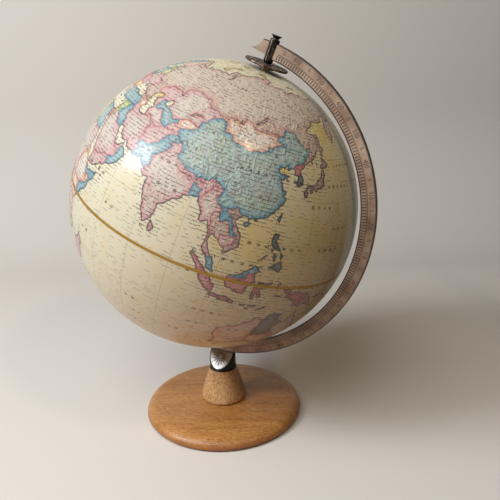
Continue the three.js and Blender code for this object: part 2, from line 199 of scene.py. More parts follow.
def turned(profile, steps, lathe=None):
    """A closed solid turned about the lathe's Z axis from (radius, height) points in mm."""
    shape = bmesh.new()
    rings = []
    for radius, height in profile:
        spots = steps if radius > 0 else 1
        rings.append([
            shape.verts.new((radius * mm * math.cos(a), radius * mm * math.sin(a), height * mm))
            for a in (math.tau * k / spots for k in range(spots))
        ])
    if profile[0][0] > 0:
        rings.append(rings[0])  # a bored solid closes on itself
    for low, high in zip(rings, rings[1:]):
        for k in range(steps):
            around = [low[k % len(low)], low[(k + 1) % len(low)]]
            around += [high[(k + 1) % len(high)], high[k % len(high)]]
            around = list(dict.fromkeys(around))  # a ring on the axis is one point
            if len(around) > 2:
                shape.faces.new(around)
    if lathe:
        shape.transform(lathe)
    return shape


def bend(centre_r, centre_z, size_r, size_z, start, end, steps):
    """Points along an ellipse between two angles in degrees."""
    angles = [math.radians(start + (end - start) * k / steps) for k in range(steps + 1)]
    return [(centre_r + size_r * math.cos(a), centre_z + size_z * math.sin(a)) for a in angles]


def piece(name, shape, material, body, nodes=(), rounding=0.0):
    """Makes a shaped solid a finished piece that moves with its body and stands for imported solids."""
    crease = math.radians(32)  # sharper edges than this stay edges, and are rounded where rounding is given
    bmesh.ops.recalc_face_normals(shape, faces=shape.faces)
    mesh = bpy.data.meshes.new(name)
    shape.to_mesh(mesh)
    shape.free()
    mesh.shade_smooth()
    mesh.set_sharp_from_angle(angle=crease)
    mesh.materials.append(material)
    made = bpy.data.objects.new(name, mesh)
    scene.collection.objects.link(made)
    if rounding:
        edge = made.modifiers.new("broken edges", "BEVEL")
        edge.width, edge.segments, edge.limit_method = rounding * mm, 2, "ANGLE"
        edge.angle_limit, edge.harden_normals = crease, True
    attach(made, body)
    if nodes:
        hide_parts(*nodes)


def beech(name, turn, pale, brown, worn, worn_below):
    """Turned steamed beech under thin oil: fibres along the grain, short dark rays and faint tool rings.

    Fibres are about 0.8 mm wide and 7 mm long, rays 0.7 x 2.5 mm, a little coarser than real ones so
    that they show. The edge is redder where hands have rubbed it.
    """
    made, tree = blank(name)
    place = add(tree, "TexCoord", out=3)
    along = add(tree, "Mapping", {"Vector": place, "Rotation": turn}, vector_type="TEXTURE")
    fibre = add(tree, "Mapping", {"Vector": along, "Scale": (150.0, 1250.0, 1250.0)})
    fibre = add(tree, "TexNoise", {"Vector": fibre, "Scale": 1.0, "Detail": 3.0, "Roughness": 0.6})
    board = add(tree, "Mapping", {"Vector": along, "Scale": (9.0, 75.0, 75.0)})
    board = {"Vector": board, "Scale": 1.0, "Detail": 4.0, "Roughness": 0.55, "Distortion": 0.6}
    board = add(tree, "TexNoise", board)
    ray = add(tree, "Mapping", {"Vector": along, "Scale": (380.0, 1250.0, 1250.0)})
    ray = add(tree, "TexNoise", {"Vector": ray, "Scale": 1.0, "Detail": 1.0})
    ray = add(tree, "MapRange", {0: ray, 1: 0.59, 2: 0.68, 3: 0.0, 4: 1.0})
    patch = add(tree, "TexNoise", {"Vector": place, "Scale": 38.0, "Detail": 3.0})

    # fibres and boards
    tone = add(tree, "MapRange", {0: fibre, 1: 0.32, 2: 0.68, 3: 0.0, 4: 0.75})
    tone = add(tree, "Math", (tone, add(tree, "MapRange", {0: board, 1: 0.35, 2: 0.68, 3: 0.0, 4: 0.35})))
    wood = add(tree, "Mix", {0: tone, 6: colour(pale), 7: colour(brown)}, **two_tone)

    # the rubbed edge, in patches, then darker stains and the rays
    height = add(tree, "SeparateXYZ", (place,), out=2)
    edge = add(tree, "MapRange", {0: height, 1: worn_below, 2: worn_below * 0.45, 3: 0.0, 4: 0.75})
    rubbing = add(tree, "MapRange", {0: patch, 1: 0.35, 2: 0.6, 3: 0.25, 4: 1.0})
    edge = add(tree, "Math", (edge, rubbing), operation="MULTIPLY")
    wood = add(tree, "Mix", {0: edge, 6: wood, 7: colour(worn)}, **two_tone)
    stain = add(tree, "MapRange", {0: patch, 1: 0.52, 2: 0.75, 3: 0.0, 4: 0.3})
    wood = add(tree, "Mix", {0: stain, 6: wood, 7: colour(brown)}, **two_tone)
    dark = add(tree, "Math", (ray, 0.62), operation="MULTIPLY")
    wood = add(tree, "Mix", {0: dark, 6: wood, 7: colour("#5f3a1d")}, **two_tone)

    # tool rings 1.6 mm apart, raised fibres and sunken rays
    radius = add(tree, "VectorMath", (place, (1.0, 1.0, 0.0)), operation="MULTIPLY")
    radius = add(tree, "VectorMath", (radius,), out=1, operation="LENGTH")
    rings = add(tree, "Math", (radius, math.tau / (1.6 * mm)), operation="MULTIPLY")
    rings = add(tree, "Math", (add(tree, "Math", (rings,), operation="SINE"), 0.12), operation="MULTIPLY")
    ground = add(tree, "Math", (fibre, rings))
    ground = add(tree, "Math", (ground, add(tree, "Math", (ray, -0.5), operation="MULTIPLY")))
    gloss = add(tree, "MapRange", {0: add(tree, "Math", (fibre, patch)), 1: 0.6, 2: 1.4, 3: 0.28, 4: 0.44})
    finish(tree, {"Base Color": wood, "Roughness": gloss, "IOR": 1.5}, ground, 0.09 * mm, 0.7)
    return made


grain_turn = (0, 0, math.radians(24))
base_tones = ("#d6a163", "#92591f", "#9a6440")
oiled_beech = beech("turned steamed beech, oiled", grain_turn, *base_tones, 9 * mm)
dome = [(26.7 + share * 50.3, 14.5 - share * share * 1.8) for share in (k / 12 for k in range(12, -1, -1))]
base_profile = [
    (3.3, 7.0), (7.8, 7.0), (7.8, 2.0), (83.3, 2.0), (83.3, 1.0),
    *bend(87.5, 3.5, 2.5, 2.5, -90, 0, 6),
    *bend(77, 3.5, 13, 9.2, 0, 90, 20)[1:],
    *dome[1:],
    (10.3, 14.5), (10.3, 10.4), (3.3, 10.4),
]
piece("base_turning", turned(base_profile, 192), oiled_beech, "stand", ["base_disc"])

# ---- felt ----
# Pressed wool felt, cut round and glued into the recess under the base. It stands 1 mm proud of the wood
# and keeps it off the table.


def wear(material, *nodes):
    """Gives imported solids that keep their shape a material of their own."""
    for node in nodes:
        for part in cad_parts[node].material_slots:
            part.material = material


# Dark green wool: matt, with matted hairs a few tenths of a millimetre thick and a soft sheen at the edge.
wool_felt, tree = blank("pressed wool felt, dark green")
place = add(tree, "TexCoord", out=3)
hairs = add(tree, "TexNoise", {"Vector": place, "Scale": 2600.0, "Detail": 4.0, "Distortion": 1.5})
tufts = add(tree, "TexNoise", {"Vector": place, "Scale": 260.0, "Detail": 2.0})
felt_tone = add(tree, "MapRange", {0: add(tree, "Math", (hairs, tufts)), 1: 0.7, 2: 1.3})
felt_tone = add(tree, "Mix", {0: felt_tone, 6: colour("#263227"), 7: colour("#4a5a45")}, **two_tone)
finish(tree, {"Base Color": felt_tone, "Roughness": 0.95, "Sheen Weight": 0.3}, hairs, 0.3 * mm, 0.8)
wear(wool_felt, "felt_pad")

# ---- neck cone ----
# Beech, turned with the grain upright: a softly bulged cone with a tenon into the base and a socket for
# the collar. Glued, and drawn down by the bolt.

grain_up = (0, math.radians(90), math.radians(35))
neck_tones = ("#fbd49c", "#a4672f", "#955a30")
upright_beech = beech("turned beech, grain upright, oiled", grain_up, *neck_tones, 20 * mm)
side = []
for share in (k / 16 for k in range(1, 17)):
    side.append((25.7 - 10.2 * share + 3.6 * share * (1 - share), 17.5 + 34.1 * share))
neck_profile = [
    (3.3, 10.7), (10, 10.7), (10, 14.5),
    *bend(22.7, 17.5, 3, 3, -90, 0, 8),
    *side,
    *bend(14.8, 51.6, 0.7, 0.7, 0, 90, 3)[1:],
    (8.3, 52.3), (8.3, 46.3), (3.3, 46.3),
]
piece("neck_turning", turned(neck_profile, 128), upright_beech, "stand", ["neck_cone"])

# ---- bolt, washer and nut ----
# Bought M6 parts, zinc plated: the head and its washer sit in the counterbore under the base, the nut in the
# collar. One bolt draws base, neck and collar together.

# Zinc plating on cold-formed steel: blue-grey metal with faint spangle a millimetre or two across.
zinc_steel, tree = blank("zinc plated steel")
place = add(tree, "TexCoord", out=3)
spangle = add(tree, "TexVoronoi", {"Vector": place, "Scale": 650.0}, out=1)
spangle = add(tree, "SeparateColor", (spangle,))
scuffs = add(tree, "TexNoise", {"Vector": place, "Scale": 1400.0, "Detail": 3.0})
zinc = add(tree, "Mix", {0: spangle, 6: colour("#b4b8bc"), 7: colour("#cdd0d2")}, **two_tone)
zinc_gloss = add(tree, "MapRange", {0: scuffs, 1: 0.3, 2: 0.7, 3: 0.24, 4: 0.42})
finish(tree, {"Base Color": zinc, "Metallic": 1.0, "Roughness": zinc_gloss}, scuffs, 0.03 * mm)
wear(zinc_steel, "base_bolt", "bolt_washer", "collar_nut", "collar_screw_left", "collar_screw_right")

# ---- collar ----
# Injection moulded ABS, near black: a socket with a spigot below, cut off at a slant in front and slotted
# across for the arc. The two screws above go through its rear cheek into the arc.


def packed_shape(node):
    """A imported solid's faces, welded and whole again, so that their edges can be rounded."""
    shape = bmesh.new()
    shape.from_mesh(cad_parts[node].data)
    bmesh.ops.remove_doubles(shape, verts=shape.verts, dist=2e-6)
    bmesh.ops.dissolve_limit(shape, angle_limit=math.radians(0.6), verts=shape.verts, edges=shape.edges)
    return shape


# Moulded ABS: black-brown, half gloss, with the faint orange peel of the mould and rubbed, duller patches.
black_abs, tree = blank("moulded ABS, black brown")
place = add(tree, "TexCoord", out=3)
peel = add(tree, "TexNoise", {"Vector": place, "Scale": 1500.0, "Detail": 2.0})
rubbed = add(tree, "TexNoise", {"Vector": place, "Scale": 120.0, "Detail": 4.0})
abs_tone = add(tree, "Mix", {0: rubbed, 6: colour("#0d0806"), 7: colour("#1c130e")}, **two_tone)
abs_gloss = add(tree, "MapRange", {0: rubbed, 1: 0.35, 2: 0.65, 3: 0.34, 4: 0.5})
abs_parts = {"Base Color": abs_tone, "Roughness": abs_gloss, "IOR": 1.53, "Specular IOR Level": 0.25}
finish(tree, abs_parts, peel, 0.04 * mm)
piece("collar_moulding", packed_shape("collar"), black_abs, "stand", ["collar"], 0.25)

# ---- star plate ----
# Stamped aluminium, let into the slanted cut and glued: bright silver with a ray star printed in dark
# lacquer round a bare centre, a traditional compass ornament.

# Bright rolled aluminium: silver, faintly brushed along the slope, a little dulled in patches.
bright_aluminium, tree = blank("bright rolled aluminium")
place = add(tree, "TexCoord", out=3)
brushed = add(tree, "Mapping", {"Vector": place, "Scale": (3000.0, 160.0, 160.0)})
brushed = add(tree, "TexNoise", {"Vector": brushed, "Scale": 1.0, "Detail": 2.0})
dulled = add(tree, "TexNoise", {"Vector": place, "Scale": 210.0, "Detail": 3.0})
plate_tone = add(tree, "Mix", {0: dulled, 6: colour("#cbc8c5"), 7: colour("#a6a19d")}, **two_tone)
plate_gloss = add(tree, "Math", (brushed, dulled))
plate_gloss = add(tree, "MapRange", {0: plate_gloss, 1: 0.6, 2: 1.4, 3: 0.3, 4: 0.48})
finish(tree, {"Base Color": plate_tone, "Metallic": 1.0, "Roughness": plate_gloss}, brushed, 0.03 * mm)
plate = packed_shape("star_plate")
piece("star_plate_stamping", plate, bright_aluminium, "stand", ["star_plate"], 0.12)


def mottled(name, scale, tones, gloss, parts=None):
    """A material whose tone, gloss and low bumps follow one fine grain."""
    made, tree = blank(name)
    grain = add(tree, "TexNoise", {"Vector": add(tree, "TexCoord", out=3), "Scale": scale, "Detail": 3.0})
    tone = add(tree, "Mix", {0: grain, 6: colour(tones[0]), 7: colour(tones[1])}, **two_tone)
    sheen = add(tree, "MapRange", {0: grain, 3: gloss[0], 4: gloss[1]})
    finish(tree, {"Base Color": tone, "Roughness": sheen, **(parts or {})}, grain, 0.03 * mm, 0.4)
    return made


def close_between(shape, rings):
    """Closes the solid between two equal loops of points."""
    shape.faces.new(rings[0][::-1])
    shape.faces.new(rings[1])
    for k in range(len(rings[0])):
        shape.faces.new((rings[0][k - 1], rings[0][k], rings[1][k], rings[1][k - 1]))


# Screen-printed lacquer: dark umber and half matt, a tenth of a millimetre thick, paler where it is thin.
umber_lacquer = mottled("screen printed umber lacquer", 900.0, ("#2a211c", "#4e4038"), (0.4, 0.6))
cut_foot, cut_angle = (0, -15 * mm, 53.8 * mm), math.atan(1.2)
star_up_slope, print_thickness, print_sunk = 16.9, 0.08, 0.02
ray_start, start_half, middle_half, end_half = 2.4, 0.3, 0.62, 0.2
rays = [12.4, 10.6, 12.0, 9.4, 10.2, 8.6, 7.6, 5.6, 7.2, 5.6, 7.4, 8.8, 10.6, 9.8, 12.0, 10.8]
star = bmesh.new()
for number, reach in enumerate(rays):
    ray_turn = Matrix.Rotation(math.radians(-90 + 360 * number / len(rays)), 4, "Z")
    one_side = [(ray_start, start_half), (reach * 0.55, middle_half), (reach, end_half)]
    outline = [(x, -y) for x, y in one_side] + one_side[::-1]
    rings = []
    for rise in (-print_sunk, print_thickness):
        ray_place = Matrix.Translation((0, star_up_slope, rise)) @ ray_turn
        rings.append([star.verts.new((ray_place @ Vector((x, y, 0))) * mm) for x, y in outline])
    close_between(star, rings)
star.transform(Matrix.Translation(cut_foot) @ Matrix.Rotation(cut_angle, 4, "X"))
piece("star_rays", star, umber_lacquer, "stand")

# ---- meridian arc ----
# A flat half ring of moulded ABS, lacquered like old copper, with its edges left black. It is screwed to
# the collar, runs round behind the ball, and ends in a point past the north pole.

axis_tilt, arc_height = math.radians(23.5), 245 * mm
arc_frame = Matrix.Translation((0, 0, arc_height)) @ Matrix.Rotation(axis_tilt, 4, "Y")
ball_frame = arc_frame @ Matrix.Translation((0, 0, -3.5 * mm))  # the ball hangs a little low in the arc

# Copper-brown lacquer over ABS: pinkish tan with cloudy browner patches and dark specks, and the two rims
# left near black. Half gloss, with fine spray grain.
copper_lacquer, tree = blank("copper brown lacquer on moulded ABS")
place = {"Vector": add(tree, "TexCoord", out=3), "Location": (0, 0, arc_height)}
place = add(tree, "Mapping", place, vector_type="TEXTURE")
from_centre = add(tree, "VectorMath", (place,), out=1, operation="LENGTH")
clouds = add(tree, "TexNoise", {"Vector": place, "Scale": 60.0, "Detail": 4.0})
grain = add(tree, "TexNoise", {"Vector": place, "Scale": 1500.0, "Detail": 2.0})
cloud_share = add(tree, "MapRange", {0: clouds, 1: 0.35, 2: 0.68})
lacquer = add(tree, "Mix", {0: cloud_share, 6: colour("#b39c88"), 7: colour("#856c5a")}, **two_tone)
speck = add(tree, "MapRange", {0: grain, 1: 0.62, 2: 0.72, 3: 0.0, 4: 0.35})
lacquer = add(tree, "Mix", {0: speck, 6: lacquer, 7: colour("#6c4f43")}, **two_tone)
outer_rim = add(tree, "MapRange", {0: from_centre, 1: 171.1 * mm, 2: 171.4 * mm})
inner_rim = add(tree, "MapRange", {0: from_centre, 1: 157.75 * mm, 2: 157.45 * mm})
rims = add(tree, "Math", (outer_rim, inner_rim), operation="MAXIMUM")
lacquer = add(tree, "Mix", {0: rims, 6: lacquer, 7: colour("#1c120b")}, **two_tone)
lacquer_gloss = add(tree, "Math", (clouds, grain))
lacquer_gloss = add(tree, "MapRange", {0: lacquer_gloss, 1: 0.7, 2: 1.3, 3: 0.33, 4: 0.48})
finish(tree, {"Base Color": lacquer, "Roughness": lacquer_gloss, "IOR": 1.5}, grain, 0.05 * mm)
arc = packed_shape("meridian_arc")
piece("arc_moulding", arc, copper_lacquer, "stand", ["meridian_arc"], 0.3)

# ---- degree scale ----
# Printed on both faces of the arc in dark lacquer: rims, a ladder of single degrees along the inner side,
# and the latitude in tens with a five half-way between, read from the pole down.

face_rise, line_height, ink_sunk = 2.25, 0.07, 0.02
rim_lines = ((157.6, 158.15), (163.0, 163.35), (163.75, 164.0), (170.6, 170.9))
degree_marks, ten_marks, figure_radius = (158.6, 162.7), (164.2, 170.5), 167.4
south_end, north_end = -86, 87  # degrees
font_height = 1.37  # of a font whose numerals are 1 high


def outward(angle):
    """The direction from the arc's centre out to an angle in radians, counted from the equator up."""
    return Vector((math.cos(angle), 0, math.sin(angle)))


def bar(shape, inner, outer, latitude, width, side):
    """A printed line along a radius of the arc, `width` mm wide."""
    turn = math.radians(latitude)
    half = Vector((-math.sin(turn), 0, math.cos(turn))) * (width / 2)
    corners = [(inner, -1), (outer, -1), (outer, 1), (inner, 1)]
    rings = []
    for level in (face_rise - ink_sunk, face_rise + line_height):
        face = Vector((0, side * level, 0))
        rings.append([shape.verts.new((outward(turn) * r + half * w + face) * mm) for r, w in corners])
    close_between(shape, rings)


def band(shape, inner, outer, start, end, side):
    """A printed line that runs round the arc between two latitudes, in straight bits of 1.5 degrees."""
    steps = round(abs(end - start) / 1.5)
    turns = [math.radians(start + (end - start) * k / steps) for k in range(steps + 1)]
    loops = []
    for radius, rise in ((inner, -ink_sunk), (outer, -ink_sunk), (outer, line_height), (inner, line_height)):
        face = Vector((0, side * (face_rise + rise), 0))
        loops.append([shape.verts.new((outward(turn) * radius + face) * mm) for turn in turns])
    for k in range(4):
        for low, high, low_next, high_next in zip(loops[k - 1], loops[k], loops[k - 1][1:], loops[k][1:]):
            shape.faces.new((low, high, high_next, low_next))
    for k in (0, steps):
        shape.faces.new([loop[k] for loop in loops])


def figure(sign, size, thick=line_height):
    """One numeral `size` mm high, cut from sheet `thick` mm thick and centred on the origin, facing up."""
    curve = bpy.data.curves.new("figure", "FONT")
    curve.body, curve.resolution_u = sign, 3
    curve.size, curve.extrude = size * font_height * mm, thick / 2 * mm
    curve.align_x, curve.align_y = "CENTER", "CENTER"
    writing = bpy.data.objects.new("figure", curve)
    scene.collection.objects.link(writing)
    mesh = bpy.data.meshes.new_from_object(writing.evaluated_get(bpy.context.evaluated_depsgraph_get()))
    bpy.data.objects.remove(writing)
    bpy.data.curves.remove(curve)
    return mesh


def put(shape, mesh, matrix):
    """Adds a copy of a mesh to the shape at a place."""
    moved = mesh.copy()
    moved.transform(matrix)
    shape.from_mesh(moved)
    bpy.data.meshes.remove(moved)


tens = {sign: figure(sign, 4.5) for sign in "012345678"}
five = figure("5", 3.8)
scale = bmesh.new()
for side in (-1, 1):
    for inner, outer in rim_lines:
        band(scale, inner, outer, north_end, south_end, side)
    for latitude in range(south_end, north_end + 1):
        bar(scale, *degree_marks, latitude, 0.8, side)
    for latitude in range(-80, 90, 5):
        signs = [(five, 0.0)]
        if latitude % 10 == 0:
            bar(scale, *ten_marks, latitude, 0.4, side)
            signs = [(tens[sign], step) for sign, step in zip(str(abs(latitude))[::-1], (2.5, -2.5))]
        for sign, step in signs:
            turn = math.radians(latitude) + side * step / figure_radius
            reading = Vector((math.sin(turn), 0, -math.cos(turn)))
            place = Matrix((reading * -side, outward(turn), (0, side, 0))).transposed().to_4x4()
            face = Vector((0, side * (face_rise + line_height / 2), 0))
            place.translation = (outward(turn) * figure_radius + face) * mm
            put(scale, sign, place)
bmesh.ops.remove_doubles(scale, verts=scale.verts, dist=1e-7)
scale.transform(arc_frame)
piece("degree_scale", scale, umber_lacquer, "stand")

# ---- pole barrels, knob, pins and washers ----
# Turned brass, plated dark bronze: each barrel is slotted and straddles the arc at a pole. A steel pin runs
# through it into the ball; the north pin ends in a small flared knob. Nylon washers carry dial and ball.

# Dark bronze plate over turned brass: almost black, with browner worn streaks along the axis and fine
# tool rings a third of a millimetre apart.
dark_bronze, tree = blank("turned brass, plated dark bronze")
place = {"Vector": add(tree, "TexCoord", out=3), "Location": (0, 0, arc_height)}
place = add(tree, "Mapping", {**place, "Rotation": (0, axis_tilt, 0)}, vector_type="TEXTURE")
streaks = add(tree, "Mapping", {"Vector": place, "Scale": (1400.0, 1400.0, 130.0)})
streaks = add(tree, "TexNoise", {"Vector": streaks, "Scale": 1.0, "Detail": 3.0})
worn = add(tree, "MapRange", {0: streaks, 1: 0.45, 2: 0.7})
bronze_tone = add(tree, "Mix", {0: worn, 6: colour("#2b2623"), 7: colour("#7c6f66")}, **two_tone)
bronze_gloss = add(tree, "MapRange", {0: streaks, 1: 0.3, 2: 0.7, 3: 0.42, 4: 0.26})
rings = add(tree, "SeparateXYZ", (place,), out=2)
rings = add(tree, "Math", (rings, math.tau / (0.33 * mm)), operation="MULTIPLY")
rings = add(tree, "Math", (add(tree, "Math", (rings,), operation="SINE"), streaks))
finish(tree, {"Base Color": bronze_tone, "Metallic": 1.0, "Roughness": bronze_gloss}, rings, 0.02 * mm, 0.4)
turnings = [("north_barrel", "stand", 0.2), ("south_barrel", "stand", 0.2), ("pin_knob", "pole_pin", 0.15)]
for node, body, rounding in turnings:
    piece(node + "_turning", packed_shape(node), dark_bronze, body, [node], rounding)
wear(zinc_steel, "north_pin", "south_pin")

# Natural nylon: milky, slightly translucent to the eye, with a faint moulded mottle.
translucent = {"Subsurface Weight": 0.1, "Subsurface Scale": 1.0 * mm}
natural_nylon = mottled("moulded natural nylon", 500.0, ("#cfcabb", "#e4e0d3"), (0.4, 0.6), translucent)
wear(natural_nylon, "dial_washer", "thrust_washer")

# ---- hour dial ----
# A cast pewter disc with a raised rim, blackened and rubbed back so that its hour marks and numerals stand
# out bright. It turns on the pin between the barrel and the ball, twice twelve hours to a turn.

# Antique pewter: blackened in the hollows, brown where the blackening has worn thin, cast grain all over.
old_pewter, tree = blank("cast pewter, blackened")
place = add(tree, "TexCoord", out=3)
cast = add(tree, "TexNoise", {"Vector": place, "Scale": 520.0, "Detail": 3.0})
blotch = add(tree, "TexNoise", {"Vector": place, "Scale": 210.0, "Detail": 3.0})
thin = add(tree, "Math", (add(tree, "Math", (blotch, cast)), 0.5), operation="MULTIPLY")
thin = add(tree, "MapRange", {0: thin, 1: 0.45, 2: 0.56})
pewter_tone = add(tree, "Mix", {0: thin, 6: colour("#1d1816"), 7: colour("#8d7868")}, **two_tone)
pewter_gloss = add(tree, "MapRange", {0: cast, 1: 0.3, 2: 0.7, 3: 0.42, 4: 0.62})
finish(tree, {"Base Color": pewter_tone, "Metallic": 0.7, "Roughness": pewter_gloss}, cast, 0.08 * mm)
dial_profile = [
    (1.7, 153.4), (21.0, 153.4), (21.6, 154.0), (21.6, 155.1), (21.3, 155.6), (20.6, 155.7), (20.1, 155.35),
    (12.8, 155.35), (12.4, 155.7), (11.6, 155.7), (11.2, 155.35), (6.2, 155.35), (5.8, 155.7), (1.7, 155.7),
]
dial = turned(dial_profile, 96, ball_frame)
piece("hour_dial_casting", dial, old_pewter, "dial", ["hour_dial"], 0.12)

# Rubbed pewter: the same metal where it is rubbed bright, warm grey with a fine mottle.
metal = {"Metallic": 1.0}
rubbed_pewter = mottled("cast pewter, rubbed bright", 900.0, ("#8f857b", "#c2b8ac"), (0.25, 0.45), metal)
hour_step = 15.0  # degrees
figures_out, figures_up = 16.1, 155.5
mark_outer, mark_half, mark_levels = 20.0, 0.2, (155.3, 155.66)
hours = bmesh.new()
for hour in range(24):
    number = str(hour % 12 or 12)
    turn = Matrix.Rotation(math.radians(-hour_step * hour), 4, "Z")
    for sign, step in zip(number, (-1.0, 1.0) if len(number) == 2 else (0.0,)):
        place = turn @ Matrix.Translation(Vector((step, figures_out, figures_up)) * mm)
        put(hours, figure(sign, 3.1, 0.34), place)
    for quarter in range(4):
        turn = Matrix.Rotation(math.radians(-hour_step * (hour + quarter / 4)), 4, "Z")
        inner = mark_outer - (0.8 if quarter else 1.5)
        corners = [(-mark_half, inner), (mark_half, inner), (mark_half, mark_outer), (-mark_half, mark_outer)]
        rings = []
        for level in mark_levels:
            rings.append([hours.verts.new(turn @ (Vector((x, y, level)) * mm)) for x, y in corners])
        close_between(hours, rings)
hours.transform(ball_frame)
piece("hour_marks", hours, rubbed_pewter, "dial")

# ---- bushings ----
# Drawn brass eyelets, pressed into the ball's two pole holes, flange outwards. They turn on the steel pins
# with the ball.

# Drawn brass, lacquered and dulled: yellow with browner film.
drawn_brass = mottled("drawn brass, tarnished", 800.0, ("#a8843c", "#c9a55a"), (0.25, 0.5), metal)
wear(drawn_brass, "north_bushing", "south_bushing")

# ---- joining hoop ----
# A strip of grey-brown card, glued inside both hemispheres across the seam. It holds the halves of the
# ball together and isn't seen from outside.

# Machine-made card: grey-brown and matt, with matted fibres about half a millimetre thick.
hoop_card, tree = blank("machine made card")
fibres = {"Vector": add(tree, "TexCoord", out=3), "Scale": 1800.0, "Detail": 4.0, "Distortion": 2.0}
fibres = add(tree, "TexNoise", fibres)
card_tone = add(tree, "Mix", {0: fibres, 6: colour("#9c8a68"), 7: colour("#c4b28e")}, **two_tone)
finish(tree, {"Base Color": card_tone, "Roughness": 0.9}, fibres, 0.1 * mm, 0.6)
wear(hoop_card, "joining_hoop")

# ---- map ball: the printed map ----
# Twelve printed paper gores, embossed with relief, laminated on a pressed shell and varnished. The
# map is drawn here as outlines of longitude and latitude in degrees; all of it is printed in one pass.

